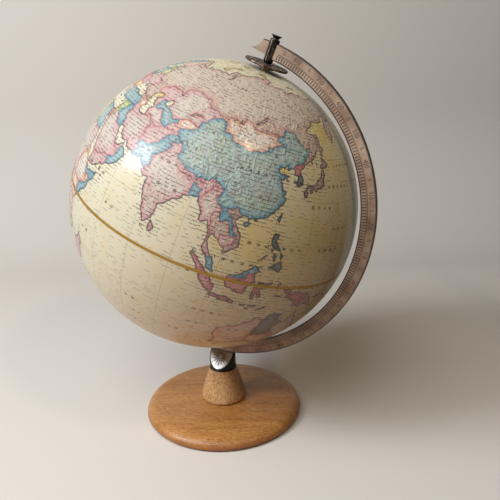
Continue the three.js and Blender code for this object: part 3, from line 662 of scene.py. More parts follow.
coasts = {
    "eurasia": """
        25.7,71.1 31,70.3 33.5,69.4 38,68.3 41.2,67 40,66.2 35,66.6 32.5,67.1 34.8,64.4 38,64.8 40.5,64.6
        40,65.7 42.2,66.4 44.2,66 43.8,68.6 46,68 46.5,66.9 53.5,68.9 60,68.8 60.6,69.8 67,68.8 66.8,70
        67,71.5 69,73 72.8,72.8 72.2,70.5 73.8,68 71.5,66.3 74.5,67.8 74.5,71 75,72.8 80.5,73.5 87,75
        98,76.2 104.3,77.7 113,75.8 107,73.3 113.5,73.5 119,73 127,73.5 129.5,71 133,71.6 139.5,72.4
        151,71.5 160,69.7 170,70 176,69.7 180,68.9 190.3,66.1 187.5,64.4 182,65.5 178,64.6 179.3,62.5
        174.5,61.8 170.3,60 163.4,59.3 162.8,57.8 163.2,56.2 161.8,55 160,53.2 156.7,51 155.6,54
        155.6,57 159,59 163.7,62.5 160,61.8 157,61.6 154.5,59.6 151,59.1 142.5,59.3 137.5,56.2 135.2,54.8
        137.5,53.8 141,53.2 140.5,50.5 140.3,48.5 138,46.3 135.5,44.3 132.5,43 130.7,42.3 129.8,41
        127.6,39.8 128.3,38.6 129.4,37 129.3,35.4 127.5,34.6 126.3,34.6 126.6,36.5 126.6,37.7 125,38
        125.2,39.5 124,39.9 121.6,39 121.8,40.8 118,39.1 117.7,38.5 119,37.3 122.5,37.2 120.3,36
        119.2,35 121.8,31.8 120.9,30.5 122,29.8 121,28 119.6,26 118,24.5 116.5,23 114.2,22.3 110.5,21.3
        110.2,20.3 109.6,21.5 108,21.6 106.7,20.5 105.8,19 107.5,16.8 109,14.8 109.3,12.5 109,11.4
        107.2,10.4 106.7,9.6 104.8,8.6 104.9,10.1 103.5,10.7 102.6,12 101,12.7 100.6,13.5 100,13.2
        99.3,10.5 100.2,8.5 101,6.9 102.3,6.2 103.4,4.5 103.5,2.5 104.2,1.4 103.3,1.5 101.3,3 100.4,5.5
        100.1,6.5 98.4,8 98.6,10.5 98.7,12.5 97.8,15.5 97.3,16.8 95.5,15.8 94.3,16 94.5,18 93.5,19.8
        92.2,20.9 91.8,22.5 90.3,22 88.8,21.6 87,21.3 86.6,20.2 84.5,19 82.3,16.7 80.3,15.5 80.2,13.5
        79.9,11.7 79.8,10.3 79,9.4 78.1,8.5 77.5,8.1 76.3,9.9 75.3,12 74.1,14.8 73,17.5 72.8,19.2
        72.7,21 71,20.8 69.1,22.2 70.2,22.9 68.3,23.6 67,24.8 66.5,25.4 61.6,25.1 57.8,25.7 56.8,27.1
        54.5,26.6 52.5,27.4 50.9,28.9 50,30.1 48.5,30 48,29.5 48.7,28 50.1,26.7 50.3,25.5 50.8,24.8
        51.3,26.1 51.6,24.8 51.8,24.1 54,24.2 56.3,26.3 56.4,24.7 58.6,23.6 59.8,22.5 58.7,20.5
        57.7,18.9 55.3,17.4 52.2,15.6 48.7,14 45,12.8 43.4,12.7 42.8,15 42.5,16.8 41,19 39.1,21.5
        37.2,24.5 35.2,28 34.9,29.5 34.3,27.8 32.6,29.9 32.3,31.2 34.2,31.3 35,32.8 35.9,35.8 36,36.8
        34.5,36.7 32.8,36 30.6,36.8 29.2,36.3 27.3,36.8 26.3,38.4 26.2,40.1 27,40.4 26.2,40.7 24,40.9
        22.8,40.5 23,39.3 24,38 23,36.5 21.4,37.2 21.3,38.3 20,39.5 19.4,41.5 18.5,42.4 16,43.5 14.2,45.2
        13.7,45.6 12.4,45.2 12.6,44 14,42.5 16.1,41.9 18.4,40.1 17,40.5 16.6,39.8 17.1,39 16,38 16,39.6
        14.4,40.7 12.3,41.7 10.5,43 10,44 8.8,44.4 7.4,43.7 5,43.4 3.2,43.2 3.2,42 0.7,40.8 -0.3,39.5
        0.2,38.8 -0.7,37.7 -2.2,36.8 -4.5,36.6 -5.5,36.1 -6.4,36.8 -8.9,37 -9.4,38.7 -8.8,41 -9.2,43.1
        -8,43.7 -1.8,43.4 -1.2,45.5 -2.5,47.3 -4.7,48.2 -1.6,48.7 -1.8,49.7 0.2,49.5 1.6,50.8 3.5,51.5
        4.7,53 7,53.5 8.5,53.8 8.6,55.5 8.2,57 10.6,57.7 10.3,56.2 9.7,54.9 10.9,54 14.2,53.9 18.6,54.6
        21,55.3 21.2,57.4 24.2,57.1 24.3,58.4 23.5,59.2 28,59.5 30.2,59.9 28,60.5 23,59.9 21.4,61
        21.3,63 25.3,65 22.2,65.8 21.2,64.5 17.5,62.5 17.2,60.7 18.8,59.8 16.7,58.4 16.4,56.7 14.3,55.5
        12.9,55.5 12,57.5 11.2,59 10.5,59.5 8,58.1 5.6,58.8 5,61 8.5,63.3 11,64.7 13,66.3 15.5,68.3
        19,69.8 23,70.5""",
    "africa": """
        32.5,30 32.3,31.2 30,31.5 25,31.6 23,32.6 20,31 15.5,31.5 15.2,32.4 11.2,33.2 10.2,34.2 11,37
        9.8,37.3 3,36.9 -2.2,35.1 -5.4,35.9 -6.4,34 -9.8,30 -13,27.8 -14.8,25.5 -16.9,21.5 -16.3,19
        -17.5,14.7 -16.7,12.5 -15,10.9 -13.2,8.8 -11.3,6.8 -7.6,4.4 -3,5.1 1.2,5.9 4.4,6.3 6,4.3 8.6,4.6
        9.7,3.5 9.4,1 8.8,-0.8 11.9,-5 12.3,-6 13.8,-10.7 12.5,-13.5 11.8,-16.5 14.4,-22.5 15.2,-26.8
        17,-29.5 18.3,-33.9 20,-34.8 25.7,-34 28.5,-32.5 31.2,-29.5 32.8,-27 32.9,-25.8 35.5,-24
        35.5,-22 34.8,-19.9 40.5,-15 40.6,-11 39.4,-8.5 39.2,-5.5 39.7,-4 41.6,-1.8 44.8,1.7 48,4.7
        50.8,9.4 51.3,11.8 49,11.3 44.6,10.4 43.2,11.6 42.8,12.8 39.7,15 37.4,18.7 37.2,21 35.6,23.9
        34,26.5 32.6,29.2""",
    "north america": """
        -168,65.7 -161,64.5 -161.5,63.4 -166,61.5 -162,59.8 -162,58.7 -158,58.7 -163,55 -156,57.5
        -154,59.3 -151.8,61 -151,59.3 -148.5,60 -144,60 -139.5,59.5 -135.5,57.5 -133,55.5 -130.2,54.5
        -128,52 -127,50.6 -123.2,49 -122.4,47.3 -124.7,48.4 -124,44.5 -124.4,40.4 -122.5,37.5
        -120.6,34.6 -117.2,32.5 -115.8,30 -114,27 -112.2,25 -110,23 -111.3,26 -113,29 -114.8,31.7
        -113,31.2 -111,28 -109,26 -105.7,22.5 -105.5,20.3 -102,18 -97,15.9 -94.5,16.2 -92.3,14.5
        -87.6,13.1 -85.8,11.2 -85.8,10 -83.5,8.5 -80.4,7.4 -79.5,8.9 -77.9,7.3 -77.4,8.5 -79.5,9.5
        -82,9 -83.6,10.8 -83.3,15 -86,15.9 -88.6,15.8 -88.2,18.5 -87.3,21.5 -90.3,21.1 -91,18.8
        -94.3,18.2 -96.1,19.3 -97.7,22.3 -97.4,26 -97.2,27.8 -94.7,29.4 -89.3,29.2 -88,30.3 -84,30
        -82.8,28.5 -81.8,26 -80.4,25.2 -80.1,27 -81.4,30.5 -79.8,32.7 -75.6,35.3 -76.2,37 -74.8,39
        -74,40.6 -70.5,41.8 -70.8,43 -67,44.8 -65.5,43.5 -61,45.5 -64.5,46.3 -64.8,47.7 -64.5,49
        -68.5,48.6 -66.5,50.2 -60,50.2 -57,51.5 -55.8,52.5 -61.5,56.5 -64.5,60.3 -67.5,58.7 -69.7,59.5
        -70,61 -73.5,62.3 -78,62.4 -77.5,60 -78.5,58.7 -76.6,57.2 -79,54.8 -79,52 -80,51.3 -82.3,52.9
        -82.3,55.2 -87.5,56.5 -92.5,57 -94.7,59 -94.5,61 -90,63 -87,65.5 -82,67 -81.5,69.2 -85.5,69.7
        -88,68.2 -90.5,69.2 -92.5,71 -95,72 -96,70 -94.5,68.2 -98,67.8 -108,67.9 -115,68.2 -115,69.3
        -124,69.8 -128.5,70.3 -135,69.3 -141,69.7 -156.7,71.3 -162.5,69.8 -166.2,68.5 -162,66.3""",
    "south america": """
        -77.4,8.5 -75.5,10.6 -72,12 -68,11.3 -62,10.7 -60,8.5 -57,6 -52,5 -50,1.5 -48.5,-0.8 -44.3,-2.8
        -40,-2.9 -37,-4.8 -35.2,-5.6 -34.9,-8.2 -37.3,-11.5 -39,-13.3 -39,-17.8 -40.8,-21.8 -43,-23
        -46.5,-24.1 -48.6,-26 -48.7,-28.3 -52.4,-33 -54.5,-34.9 -58.3,-34 -57,-36.5 -58,-38.3 -62,-39
        -65,-41 -63.8,-42.7 -65.5,-45 -67.5,-46.3 -65.8,-47.8 -69,-51 -68.4,-52.4 -65.2,-54.7 -69,-55.4
        -72,-54 -75.3,-52 -75.5,-48 -74.2,-44 -73.8,-41.8 -73.6,-37.2 -71.5,-30 -70.4,-25 -70.2,-19.5
        -71.4,-17.6 -76.2,-13.8 -79,-8.2 -81.2,-5.5 -79.8,-3 -80.8,-1 -78.8,1.6 -77.3,4 -77.9,7.3""",
    "australia": """
        113.7,-22.6 114.2,-21.8 116.8,-20.6 119,-20 121.8,-18.5 122.2,-17.2 123.7,-17.2 125,-15
        126.8,-13.9 128.5,-14.8 129.6,-15 130.2,-13 130.8,-12.4 132.6,-11.5 136.8,-12.1 136,-13.5
        135.8,-15 137.5,-16 139.5,-17.5 140.9,-17.5 141.6,-15 141.7,-12.7 142.5,-10.7 143.5,-13
        143.7,-14.4 145.3,-15.2 146,-17.5 149.2,-21 150.8,-23.3 153.1,-25.5 153.6,-28.5 152.5,-32.2
        151.3,-33.8 150,-36.5 149.9,-37.5 147.5,-38 146.4,-39 144.5,-38.2 140.6,-38 139.6,-36
        138,-35.6 138.1,-34.2 137,-35.2 137.6,-33 136,-34.8 134.2,-32.8 131.2,-31.5 127,-32.3
        124,-33.2 123.5,-33.9 120,-33.9 118,-35 115,-34.3 115.8,-32 113.5,-26.2 113.7,-24""",
    "antarctica": """
        -169,-78.5 -158,-77.5 -150,-77 -137,-75 -120,-74 -102,-72.5 -90,-73 -80,-73.3 -68,-72 -67,-68
        -61,-64 -57.5,-63.3 -61,-66 -62,-70 -62,-74 -60,-76 -40,-78 -28,-76.5 -20,-73 -10,-71 0,-70
        15,-70 40,-69 50,-66.8 57,-66.5 70,-68 75,-69.5 85,-66.8 100,-66 130,-66 145,-67 155,-69
        165,-70.7 170,-72 164,-76 167,-78 180,-78 191,-78.5 191,-90 -169,-90""",
    "britain": """
        -5.6,50.1 -3.5,50.3 1.3,51.1 1.7,52.7 -1.5,55 -3,56 -1.9,57.6 -3.2,58.6 -5,58.6 -6.2,56.8
        -5,55 -3,54 -4.5,53.3 -4.2,52.2 -5.2,51.8 -3,51.4""",
    "ireland": "-6,52.2 -10,51.6 -10,54.2 -8,55.2 -5.6,54.6 -6.1,53.3",
    "iceland": "-22.5,64 -18.5,63.4 -14.5,64.4 -14.6,66 -18,66.1 -22.5,66.4 -24,65.5 -22,64.6",
    "spitsbergen": "14,77 17,76.6 24,78 27,80 20,80.5 11,79.5",
    "novaya zemlya": "51.5,71.5 55,70.6 57.5,71 55.8,73 61,75.5 68.5,76.9 66,77.1 56,75 53,73",
    "severnaya zemlya": "95,79 100,78 105,78.8 103,79.5 98,81 92,80",
    "franz josef land": "50,80.2 60,80 64,81 55,81.2",
    "new siberian islands": "138,75.5 145,75 150,75 146,76 140,76",
    "sakhalin": "142,54.3 143.3,52.5 143,49.3 144.5,48.8 142.8,47.2 143.3,46.5 142,46 142,49 141.8,52.3",
    "hokkaido": "140.2,41.6 143.2,42 145.5,43.3 144.3,44 141.8,45.4 141.5,43.3 140,42.7",
    "honshu": """
        141.4,41.4 142,39.5 141,38.2 140.8,35.7 138.8,34.8 137,34.6 135.8,33.5 135,34.5 131,34
        131,34.5 133,35.5 136,35.8 137,37.4 138.8,37.8 140,39.5 140.3,41.1""",
    "kyushu": "130.9,33.9 131.9,33 131.3,31.4 130.2,31.2 129.8,33",
    "shikoku": "132.6,33.9 134.6,34.1 134.2,33.3 132.9,32.8",
    "taiwan": "121.5,25.2 120.9,22 120.2,23.2",
    "hainan": "108.7,19.2 109.6,18.3 111,19.7 110,20.1",
    "luzon": "120.6,18.5 122.2,18.4 121.5,16 124,13 122.5,13.5 121,13.7 120.2,14.8 119.9,16.3",
    "samar": "124.3,12.5 125.6,11.5 125,10.2 124.5,11",
    "panay": "121.9,11.8 123.2,11.4 122.8,9.3 122,10.5",
    "mindoro": "120.4,13.4 121.4,13.1 121,12.3",
    "palawan": "117.2,8.4 119.5,11.2 119.3,10.3",
    "mindanao": "122,7 123.4,8.6 125.3,9.7 126.5,7.5 125.6,5.8 124,6.5",
    "borneo": """
        109,1.4 109.6,2 111.4,2.5 113,3.2 115,5 116.8,7 119.2,5.2 117.8,3.5 118.9,1 117.5,0.8
        116.4,-1.5 116.2,-3.8 114.6,-4 113,-3.2 110.2,-2.8 109,-0.3""",
    "sumatra": """
        95.3,5.6 97.5,5.2 100.4,2.7 103.7,0 104,-1 106,-3 105.8,-5.8 104.5,-5.8 102.3,-4 100.4,-1
        98.7,1.7""",
    "java": "105.2,-6.8 106.2,-6 108.5,-6.7 110.9,-6.4 112.7,-7 114.5,-7.8 114.3,-8.7 110.5,-8.1 107,-7.4",
    "sumbawa": "116.8,-8.4 119,-8.3 118.8,-8.8 116.9,-9",
    "flores": "119.9,-8.4 122.9,-8.1 122.5,-8.7 120,-8.9",
    "sumba": "119,-9.5 120.8,-10.2 120,-10.3",
    "timor": "123.5,-10.3 127,-8.3 126.5,-9 124.5,-10.2",
    "celebes": """
        119.4,-3.5 119.5,-5.5 120.4,-5.5 120.4,-3 121,-2.8 121.6,-4.7 122.8,-4.5 122.2,-3 121.5,-1.9
        123.3,-0.8 121.5,-0.9 120.1,-1 120.1,0.4 123.2,0.4 125.2,1.5 124.7,1.8 122.8,0.9 120.2,1.1
        119.8,-0.2""",
    "halmahera": "127.6,1 128,2 128.7,1.4 128,0.6 128.3,-0.8 127.7,0",
    "seram": "128,-3.2 130.8,-3.3 130.6,-3.8 128.2,-3.5",
    "new guinea": """
        131,-0.8 134,-0.8 134.9,-3.3 137.8,-1.5 141,-2.6 144.6,-3.9 145.8,-5.4 147,-6.8 150.8,-10.3
        147.2,-9.5 143.6,-8.2 142.5,-9.3 140,-8.1 137.8,-8.3 138,-6 135,-4.4 132.8,-4 133.8,-2.3
        132,-2.2""",
    "new britain": "148.3,-5.7 150.8,-5.4 152.2,-4.2 151.5,-5.8 149.5,-6.3",
    "solomon islands": "155,-5.5 156,-6.8 160.5,-9.5 159.5,-9.4",
    "new caledonia": "164,-20.2 167,-22.3 166,-22",
    "ceylon": "79.8,8 80.2,9.7 81.8,7.6 81.2,6.3 80.2,6",
    "tasmania": "144.8,-40.8 148.2,-40.9 147.8,-43.2 146,-43.5 145.3,-42",
    "new zealand north": "172.8,-34.5 175.4,-36.8 178.4,-37.8 177,-39.5 175.3,-41.5 173.8,-39.3 174.8,-37.8",
    "new zealand south": "172.7,-40.6 174.2,-41.5 172.8,-43.7 170.7,-45.9 168.5,-46.6 166.6,-45.9 168.4,-44",
    "madagascar": "49.3,-12 50.4,-15.8 49.4,-18 47,-25 45.2,-25.5 43.5,-23 44.3,-20 44.4,-16.3 46.5,-15.6",
    "socotra": "53.5,12.6 54.4,12.5 53.8,12.2",
    "sicily": "12.5,38 15.5,38.2 15,36.7",
    "sardinia": "8.3,41 9.6,41 9.6,39.2 8.5,39",
    "corsica": "8.6,42.4 9.4,42.9 9.3,41.5",
    "crete": "23.6,35.5 26.2,35.2 24.8,34.9",
    "cyprus": "32.4,34.9 34.5,35.6 33.8,34.8",
    "greenland": """
        -73,78.2 -66,76 -60,76 -54.5,70 -53.5,67 -52,64.5 -48,61 -43.8,59.9 -40,65 -26,68.6 -22,70.5
        -19,75.5 -18,78 -12,81.4 -32,83.5 -60,82 -66,80.5""",
    "baffin island": """
        -65,62 -66,63 -72,62.8 -74,64.5 -78,64.6 -72.5,67.5 -77,69.8 -89,71.5 -86,73.6 -80.5,73.7
        -76,72.7 -68,70.3 -61.5,66.5 -67,64.5""",
    "ellesmere island": "-77,76.5 -88,76.5 -91,79 -86,82 -70,83.1 -62,82.4 -70,79.5 -76,78",
    "victoria island": "-105,69.2 -113,68.6 -116.5,69.5 -118,71 -114.5,73.2 -107,73 -101.5,70",
    "banks island": "-123,71.3 -125.5,72.3 -124,74.3 -119,74 -121,72",
    "newfoundland": "-59.3,47.7 -55.5,46.9 -52.8,47 -53.5,48.8 -55.8,51.5 -57.5,50.5",
    "cuba": "-84.8,21.9 -82,23.1 -77.3,21.5 -74.3,20.2 -77.6,19.9 -78,21",
    "hispaniola": "-74.3,18.5 -73,19.9 -69.8,19.7 -68.5,18.6 -71.5,17.7",
    "jamaica": "-78.3,18.3 -76.4,18.1 -77.2,17.8",
    "hawaii": "-156,20.2 -155,19.6 -155.7,19",
}
inland_waters = {
    "black sea": """
        29,41.3 31.5,41.3 33.3,42 35.1,42.1 36.5,41.3 39,41 41.6,41.6 41.3,42.8 38.3,44.4 37,45.2
        39.2,47.2 35,46.2 36.3,45.3 33.7,44.5 32.6,45.4 33.5,46.1 31.3,46.7 30.2,46 28.5,43.7 27.7,42.6""",
    "caspian": """
        51,47 49,46.4 47.5,45.2 47.7,43 49,41.5 49.4,40.3 50.3,40.3 49,39.2 49,37.7 51.5,36.8
        54,36.9 53.9,39 53,40 54.7,41.2 52.7,42.5 50.8,44.4 53,45.3 53.2,46.8""",
    "aral": "58.2,44 60.5,43.7 61.8,45.2 61,46.6 59.3,46.4",
    "baikal": "103.8,51.6 106.5,52.6 109.7,55.7 108.3,55 105.3,52.6",
    "balkhash": "73.5,45 76,46.3 79,46.5 75,46.7",
    "victoria": "31.8,-0.9 33.7,0.4 34.1,-0.6 33.5,-2.2 32,-2.5",
    "tanganyika": "29.3,-3.4 29.9,-5.8 31,-8.7 30.2,-7",
    "nyasa": "34.1,-9.6 34.8,-12.5 35.1,-14.3 34.2,-12",
    "superior": "-92,46.8 -88,48.8 -84.8,46.7 -88,47.2",
    "michigan": "-87.8,42 -86.2,42 -86.4,44.5 -85.2,45.8 -87.7,45",
    "huron": "-82.4,43.2 -81.5,45.2 -84,46 -83.5,44.3",
}

borders = """
    30.9,71.2 29.3,69.4 28.5,68.2 30,67.7 29.1,66.9 30,65.7 29.7,64.8 31.3,62.6 27.7,59.7
    11,58.7 12.3,61 12.2,63 14,64.5 16,67 18.2,68.5 20.6,69.1 25.7,69.1 28,70 29.3,69.4
    20.6,69.1 23.7,67.3 24.2,65.4 23.7,64.6
    8,54.9 10.5,54.8
    -1.4,43.6 3.7,42.4
    -9.4,41.9 -6.3,41.8 -7,39 -7.4,36.5
    2,51.4 4.2,50 8.2,49 7.5,47.6 6,46.3 7,45 7.6,43.1
    3,51.3 6,51.2 6.2,49.5
    6,51.2 7,54
    14.2,54.4 14.8,51 12.2,50.2 13.8,48.7 13,47.6 9.6,47.5 7.5,47.6
    14.8,51 18,50 22.5,49.1 24,50.8 23.6,53 22.8,54.4 19.4,54.9
    13.8,48.7 17,48 22.2,48.4 22.5,49.1
    7,45.9 10.4,46.7 13.7,46.5 13.7,45
    17,48 16.3,46.9 18.8,45.9 21.5,46.2 22.9,48 22.2,48.4
    16.3,46.9 13.7,46.5
    21.5,46.2 22.6,44.5 29,43.7
    22.6,44.5 23,41.4
    19.6,39.5 21,40.9 23,41.4 26.4,41.7 26.1,40.2
    26.4,41.7 28.5,42
    18.9,41.8 20.5,41.8 21,40.9
    22.9,48 26.5,48.2 28.2,46 29.9,45.2
    20.5,56.1 26.5,55.7
    24.1,57.9 27.5,57.6
    28,60 27.5,57.6 28.2,56.2 31,55 32.5,53.3 31.8,52.1 34.2,51.8 36,50.4 40,49.6 39.8,47.8 38.1,46.7
    23.6,51.6 27.5,51.5 31.8,52.1
    22.8,54.4 26.5,55.7 28.2,56.2
    38.9,43.6 42,43.4 46.5,41.8 49,41.8
    41.2,41.5 43.5,41.1 44.8,39.7 44.4,38 44.8,37.2
    43.5,41.1 46.5,41.8
    45,41.4 46.5,38.9
    44.8,39.7 46.5,38.9 49.4,38.4
    35.5,35.9 36.7,36.8 42.4,37.1 44.8,37.2 46,35.8 45.4,34 47.8,31.5 48.5,29.7
    42.4,37.1 41,34.5 38.8,33.4 39.2,32.2 37,31.5 38,30.5 36,29.2 34.7,29.3
    35.7,32.7 38.8,33.4
    34.8,29 35.5,31.8 35.6,33.3 34.6,33.1
    35.6,33.3 36.5,34.6 35.5,34.7
    39.2,32.2 42,31.1 44.7,29.2 46.5,29.1 48.2,30.3
    46.5,29.1 48.9,28.5
    42.2,16.4 44,17.4 46.5,17.2 48.2,18.2 52,19 53.3,15.9
    52,19 55,20 55.7,22 55.2,22.7 52.5,23 51.4,24.5
    55.2,22.7 55.8,24.2 56.9,25
    53.6,37.2 57,38.2 61.2,36.6 60.6,34 61.7,31.4 60.9,29.8 63.2,27.2 61.5,24.6
    60.9,29.8 66.3,29.9 69.3,31.9 70,34 71.5,36.3 74.5,37
    61.2,36.6 64.5,36.2 66.5,37.4 67.8,37.2 71.5,37.9 74.5,37.3 74.5,37
    66.5,37.4 62.4,40 60,42.2 57,41.3 56,41.3
    52.3,41.8 54.8,42 56,41.3 56,45 58.5,45.5 59.8,45.2
    60.3,44.6 62,43.5 66,42 68,41 70.9,42.2 74,43.2 80.2,42.2
    70.9,42.2 71.5,40.2 69.5,40.2 73.7,39.5
    67.8,37.2 68,39.2 69.5,40.2
    74.5,37.3 73.7,39.5 76.5,40.4 80.2,42.2 80.3,45 82.5,45.3 83,47.2 85.8,48.3 87.3,49.1
    49.4,46 47,48 47,49.5 51,51.5 55,51 61.5,51 61,52.8 62,54 68,55 71,54.3 76.5,54.2 80,50.9 83.5,51
    87.3,49.1 92,50.8 98,50 98.9,52.1 102.3,51.4 102.3,50.6 107,49.7 114,50.2 116.7,49.8
    83.5,51 87.3,49.1 90.9,46.9 91,45.2 95.3,44.3 96.4,42.7 101,42.6 105,41.6 109.5,42.5 112,43.8
    111.8,45 114,45 116.3,46.4 119.8,46.8 115.6,47.8 116.7,49.8 119.5,50.5 120,52.6 121,53.3 125.8,53
    125.8,53 127.5,50 130.8,48.9 131,47.7 135,48.4 133.1,45 131,44.9 131.2,43.5 130.6,42.4 131,41.9
    112,43.8 111.8,45
    130.6,42.4 128,42 126.8,41.7 123.8,39.7
    126,37.5 128.7,38.8
    67.8,23.5 71,24.4 70,27.8 72.9,29.9 75.3,32.5 74,34 77.8,35.5
    74.5,37 77.8,35.5 79.5,33 78.7,31.3 81,30.2
    81,30.2 80.1,28.8 84,27.4 88,26.4 88.1,27.9 85,28.4 81,30.2
    88.1,27.9 88.9,27.3 89,26.8 92,26.8 91.7,27.8 90,28.2 88.9,27.3
    91.7,27.8 94,29.2 97.3,28.2
    89,21.3 88.5,24.4 88.3,26.3 89.8,25.9 89.9,25.2 92.2,25 91.5,23.5 92.3,21.2 91.8,20.6
    92.3,21.2 93.3,24 94.7,25.5 97.3,28.2 98.7,27.5 98.7,25.8 97.6,24 99.3,22.1 101.2,21.5
    101.2,21.5 100.1,20.4 97.8,18.6 98.5,16.2 98.2,15.1 99.2,13 99.6,11.8 98.2,9.8
    101.2,21.5 102.2,22.5 105.3,23.3 106.7,22.1 108.3,21.2
    102.2,22.5 103,20.8 104.8,20 105.1,18.5 107.5,15.2 107.6,14.5 107.5,12.3 106,11.5 104.1,10.1
    100.1,20.4 101.2,17.6 104,18.3 104.8,16.2 105.6,14.4 107.6,14.5
    105.6,14.4 102.6,13.8 102.6,11.2
    98.8,6.8 101.2,5.6 103.4,7.0
    109.3,2.3 110,1.2 112,1.4 114.5,1.5 115.5,4 118.6,4.2
    113.5,3.2 114.5,1.5
    141,-2 141,-9.8
    124.2,-8.4 125,-10.5
    25,32.4 25,22 37.7,22
    25,22 24,20 24,19.5 16,23.4 12,23.5 9.5,26.4 9.8,30.2 11.5,33.8
    9.8,30.2 8.2,32.5 8.6,37.7
    -2.2,35.9 -1.8,33 -5,30 -8.7,28.7 -8.7,27.3 -4.9,25 1.5,21 3.3,19 7.5,20.8 12,23.5
    -13.9,27.7 -8.7,27.3 -8.7,26 -12,26 -12,23.3 -13,21.3 -17.6,21.3
    -4.9,25 -6.5,25 -5.5,15.5 -12,14.8 -17.2,16.4
    -12,14.8 -11.4,12.4 -17.4,12.4
    -11.4,12.4 -8,10.2 -8.3,7.6 -12,6.5
    -8.3,7.6 -7.5,3.8
    -8,10.2 -5.3,10.3 -4,13.2 0.2,14.9 3.8,15.7 3.3,19
    0.2,14.9 2.4,11.9 3.6,11.7
    -5.3,10.3 -2.8,9.7 -3.1,4.4
    -2.8,9.7 -2.8,11 2.4,11.9 1.4,5.4
    2.7,5.6 2.8,9 3.6,11.7 4.1,13.5 7,13.1 13.6,13.7 14.2,12.5 13.2,9.8 9.8,6.5 8.5,4
    12,23.5 15,21 15.5,16.8 13.6,13.7
    14.2,12.5 15.5,10 14.5,6 16.2,2.2 9.2,2.2
    15.5,10 19,9 22.9,11 22,13 24,15.7 24,19.5
    22.9,11 24.2,8.7 27.4,5.1 22.5,4.1 18.6,4.3 16.2,2.2
    18.6,4.3 17.8,-0.5 16,-3.5 11.7,-5.8
    13.2,2.2 14.4,-1.9 10.4,-4.2
    11.7,-6 16.5,-5.9 17.5,-8.1 21.8,-7.3 22,-11 24,-11 24,-13 22,-13 22,-16.2 23.3,-17.6 25.2,-17.8
    11.1,-17.2 14,-17.4 23.3,-17.6
    23.3,-17.6 21,-18.3 21,-22 20,-22 20,-28.4 15.8,-28.7
    20,-24.8 23,-25.3 25.6,-25.6 27,-23.7 29.3,-22.2 31.3,-22.4 32,-26.8 33.5,-27
    25.2,-17.8 27.7,-20.5 29.3,-22.2
    31.3,-22.4 32.9,-19 33,-17 30.4,-15.6 28.8,-16 25.2,-17.8
    24,-11 28.3,-12.4 29.8,-13.4 28.5,-9.3 30.8,-8.3 33,-9.5 33.5,-14 30.4,-15.6
    33,-9.5 34.2,-9.7 34.7,-11.6 34.9,-13.5
    33.5,-14 35.2,-17 35.8,-14.5 34.9,-13.5
    34.7,-11.6 41.2,-10.5
    33.9,-1 37.7,-3.2 39.6,-5
    33.9,-1 30.5,-1 29.4,-3.6 29.8,-5.9 30.8,-8.3
    30.5,-1 29.6,0 31.2,2.2 30.9,3.7 35.9,4.6 39,3.5 41.9,4 41,-0.9 42,-2.2
    33.9,0.3 34.2,4.2
    27.4,5.1 30.9,3.7
    41.9,4 45,5 48,8 44,9 42.7,10.9 43.3,12
    35.9,4.6 33,7.8 34.3,10.6 36.3,14.3 38.9,18.2
    36.3,14.3 40,14.5 43.2,12.3
    -123.6,49 -95.2,49 -89.5,48 -84.8,46.7 -83.2,45.6 -82.3,43.2 -82.5,42 -79,42.9 \
    -76.5,44 -74.7,45 -71.5,45 -70,46.8 -68,47.3 -66.9,44.3
    -141,70.2 -141,60.3 -137.5,58.9 -135,59.5 -130,56 -130.4,54.2
    -117.8,32.5 -111,31.3 -108.2,31.5 -106.4,31.8 -104.5,29.5 -102.5,29.8 -99.5,27.5 -96.8,25.9
    -92.5,14 -91.4,17.8 -89.2,17.8 -87.8,18.6
    -89.2,17.8 -88.9,15.3
    -88.1,16.2 -89.3,14.4 -90.3,13.2
    -83,15 -87.7,12.9
    -86.2,11.1 -83.3,10.9
    -83,7.9 -82.5,9.7
    -51.2,4.7 -54.6,2.3 -57.8,2 -59.8,1.6 -60.7,5 -64,3.6 -67.2,1.5 -69.8,1 -69.4,-1 -70,-4.2
    -70,-4.2 -72.9,-5.2 -73.8,-7.3 -72.5,-9.5 -70.6,-11 -65.3,-10 -60.2,-13.8 -60,-16.3 -57.8,-17.7 -57.9,-22
    -54.3,-24.2 -54.6,-25.6 -57.6,-30.2 -53,-34
    -71.5,12.5 -72.5,8.3 -67.5,6.2 -67.2,1.5
    -60.7,5 -59.7,8.9
    -57,6.5 -57.8,2
    -53.9,6.3 -54.6,2.3
    -79.4,1.6 -75.3,0 -70,-4.2
    -80.8,-3.2 -79,-5 -75.3,0
    -70.6,-11 -69.5,-17.5 -71,-18.3
    -69.5,-17.5 -67.5,-22.8 -62.8,-22 -57.9,-20.2
    -67.5,-22.8 -69.5,-28 -70,-33 -71.5,-39 -71.8,-44 -73,-50 -72,-52 -68,-52.6
    -62.8,-22 -57.7,-25.3 -58.6,-27.3 -54.6,-25.6
    -57.6,-30.2 -58.9,-34.5
    129,-13 129,-26 129,-32.1
    129,-26 138,-26 138,-15.7
    138,-26 141,-26 141,-29 141,-34 141,-38.6
    141,-29 149,-29 154.2,-28.2
    141,-34 144,-35.5 147.5,-36.1 150.5,-37.4
"""

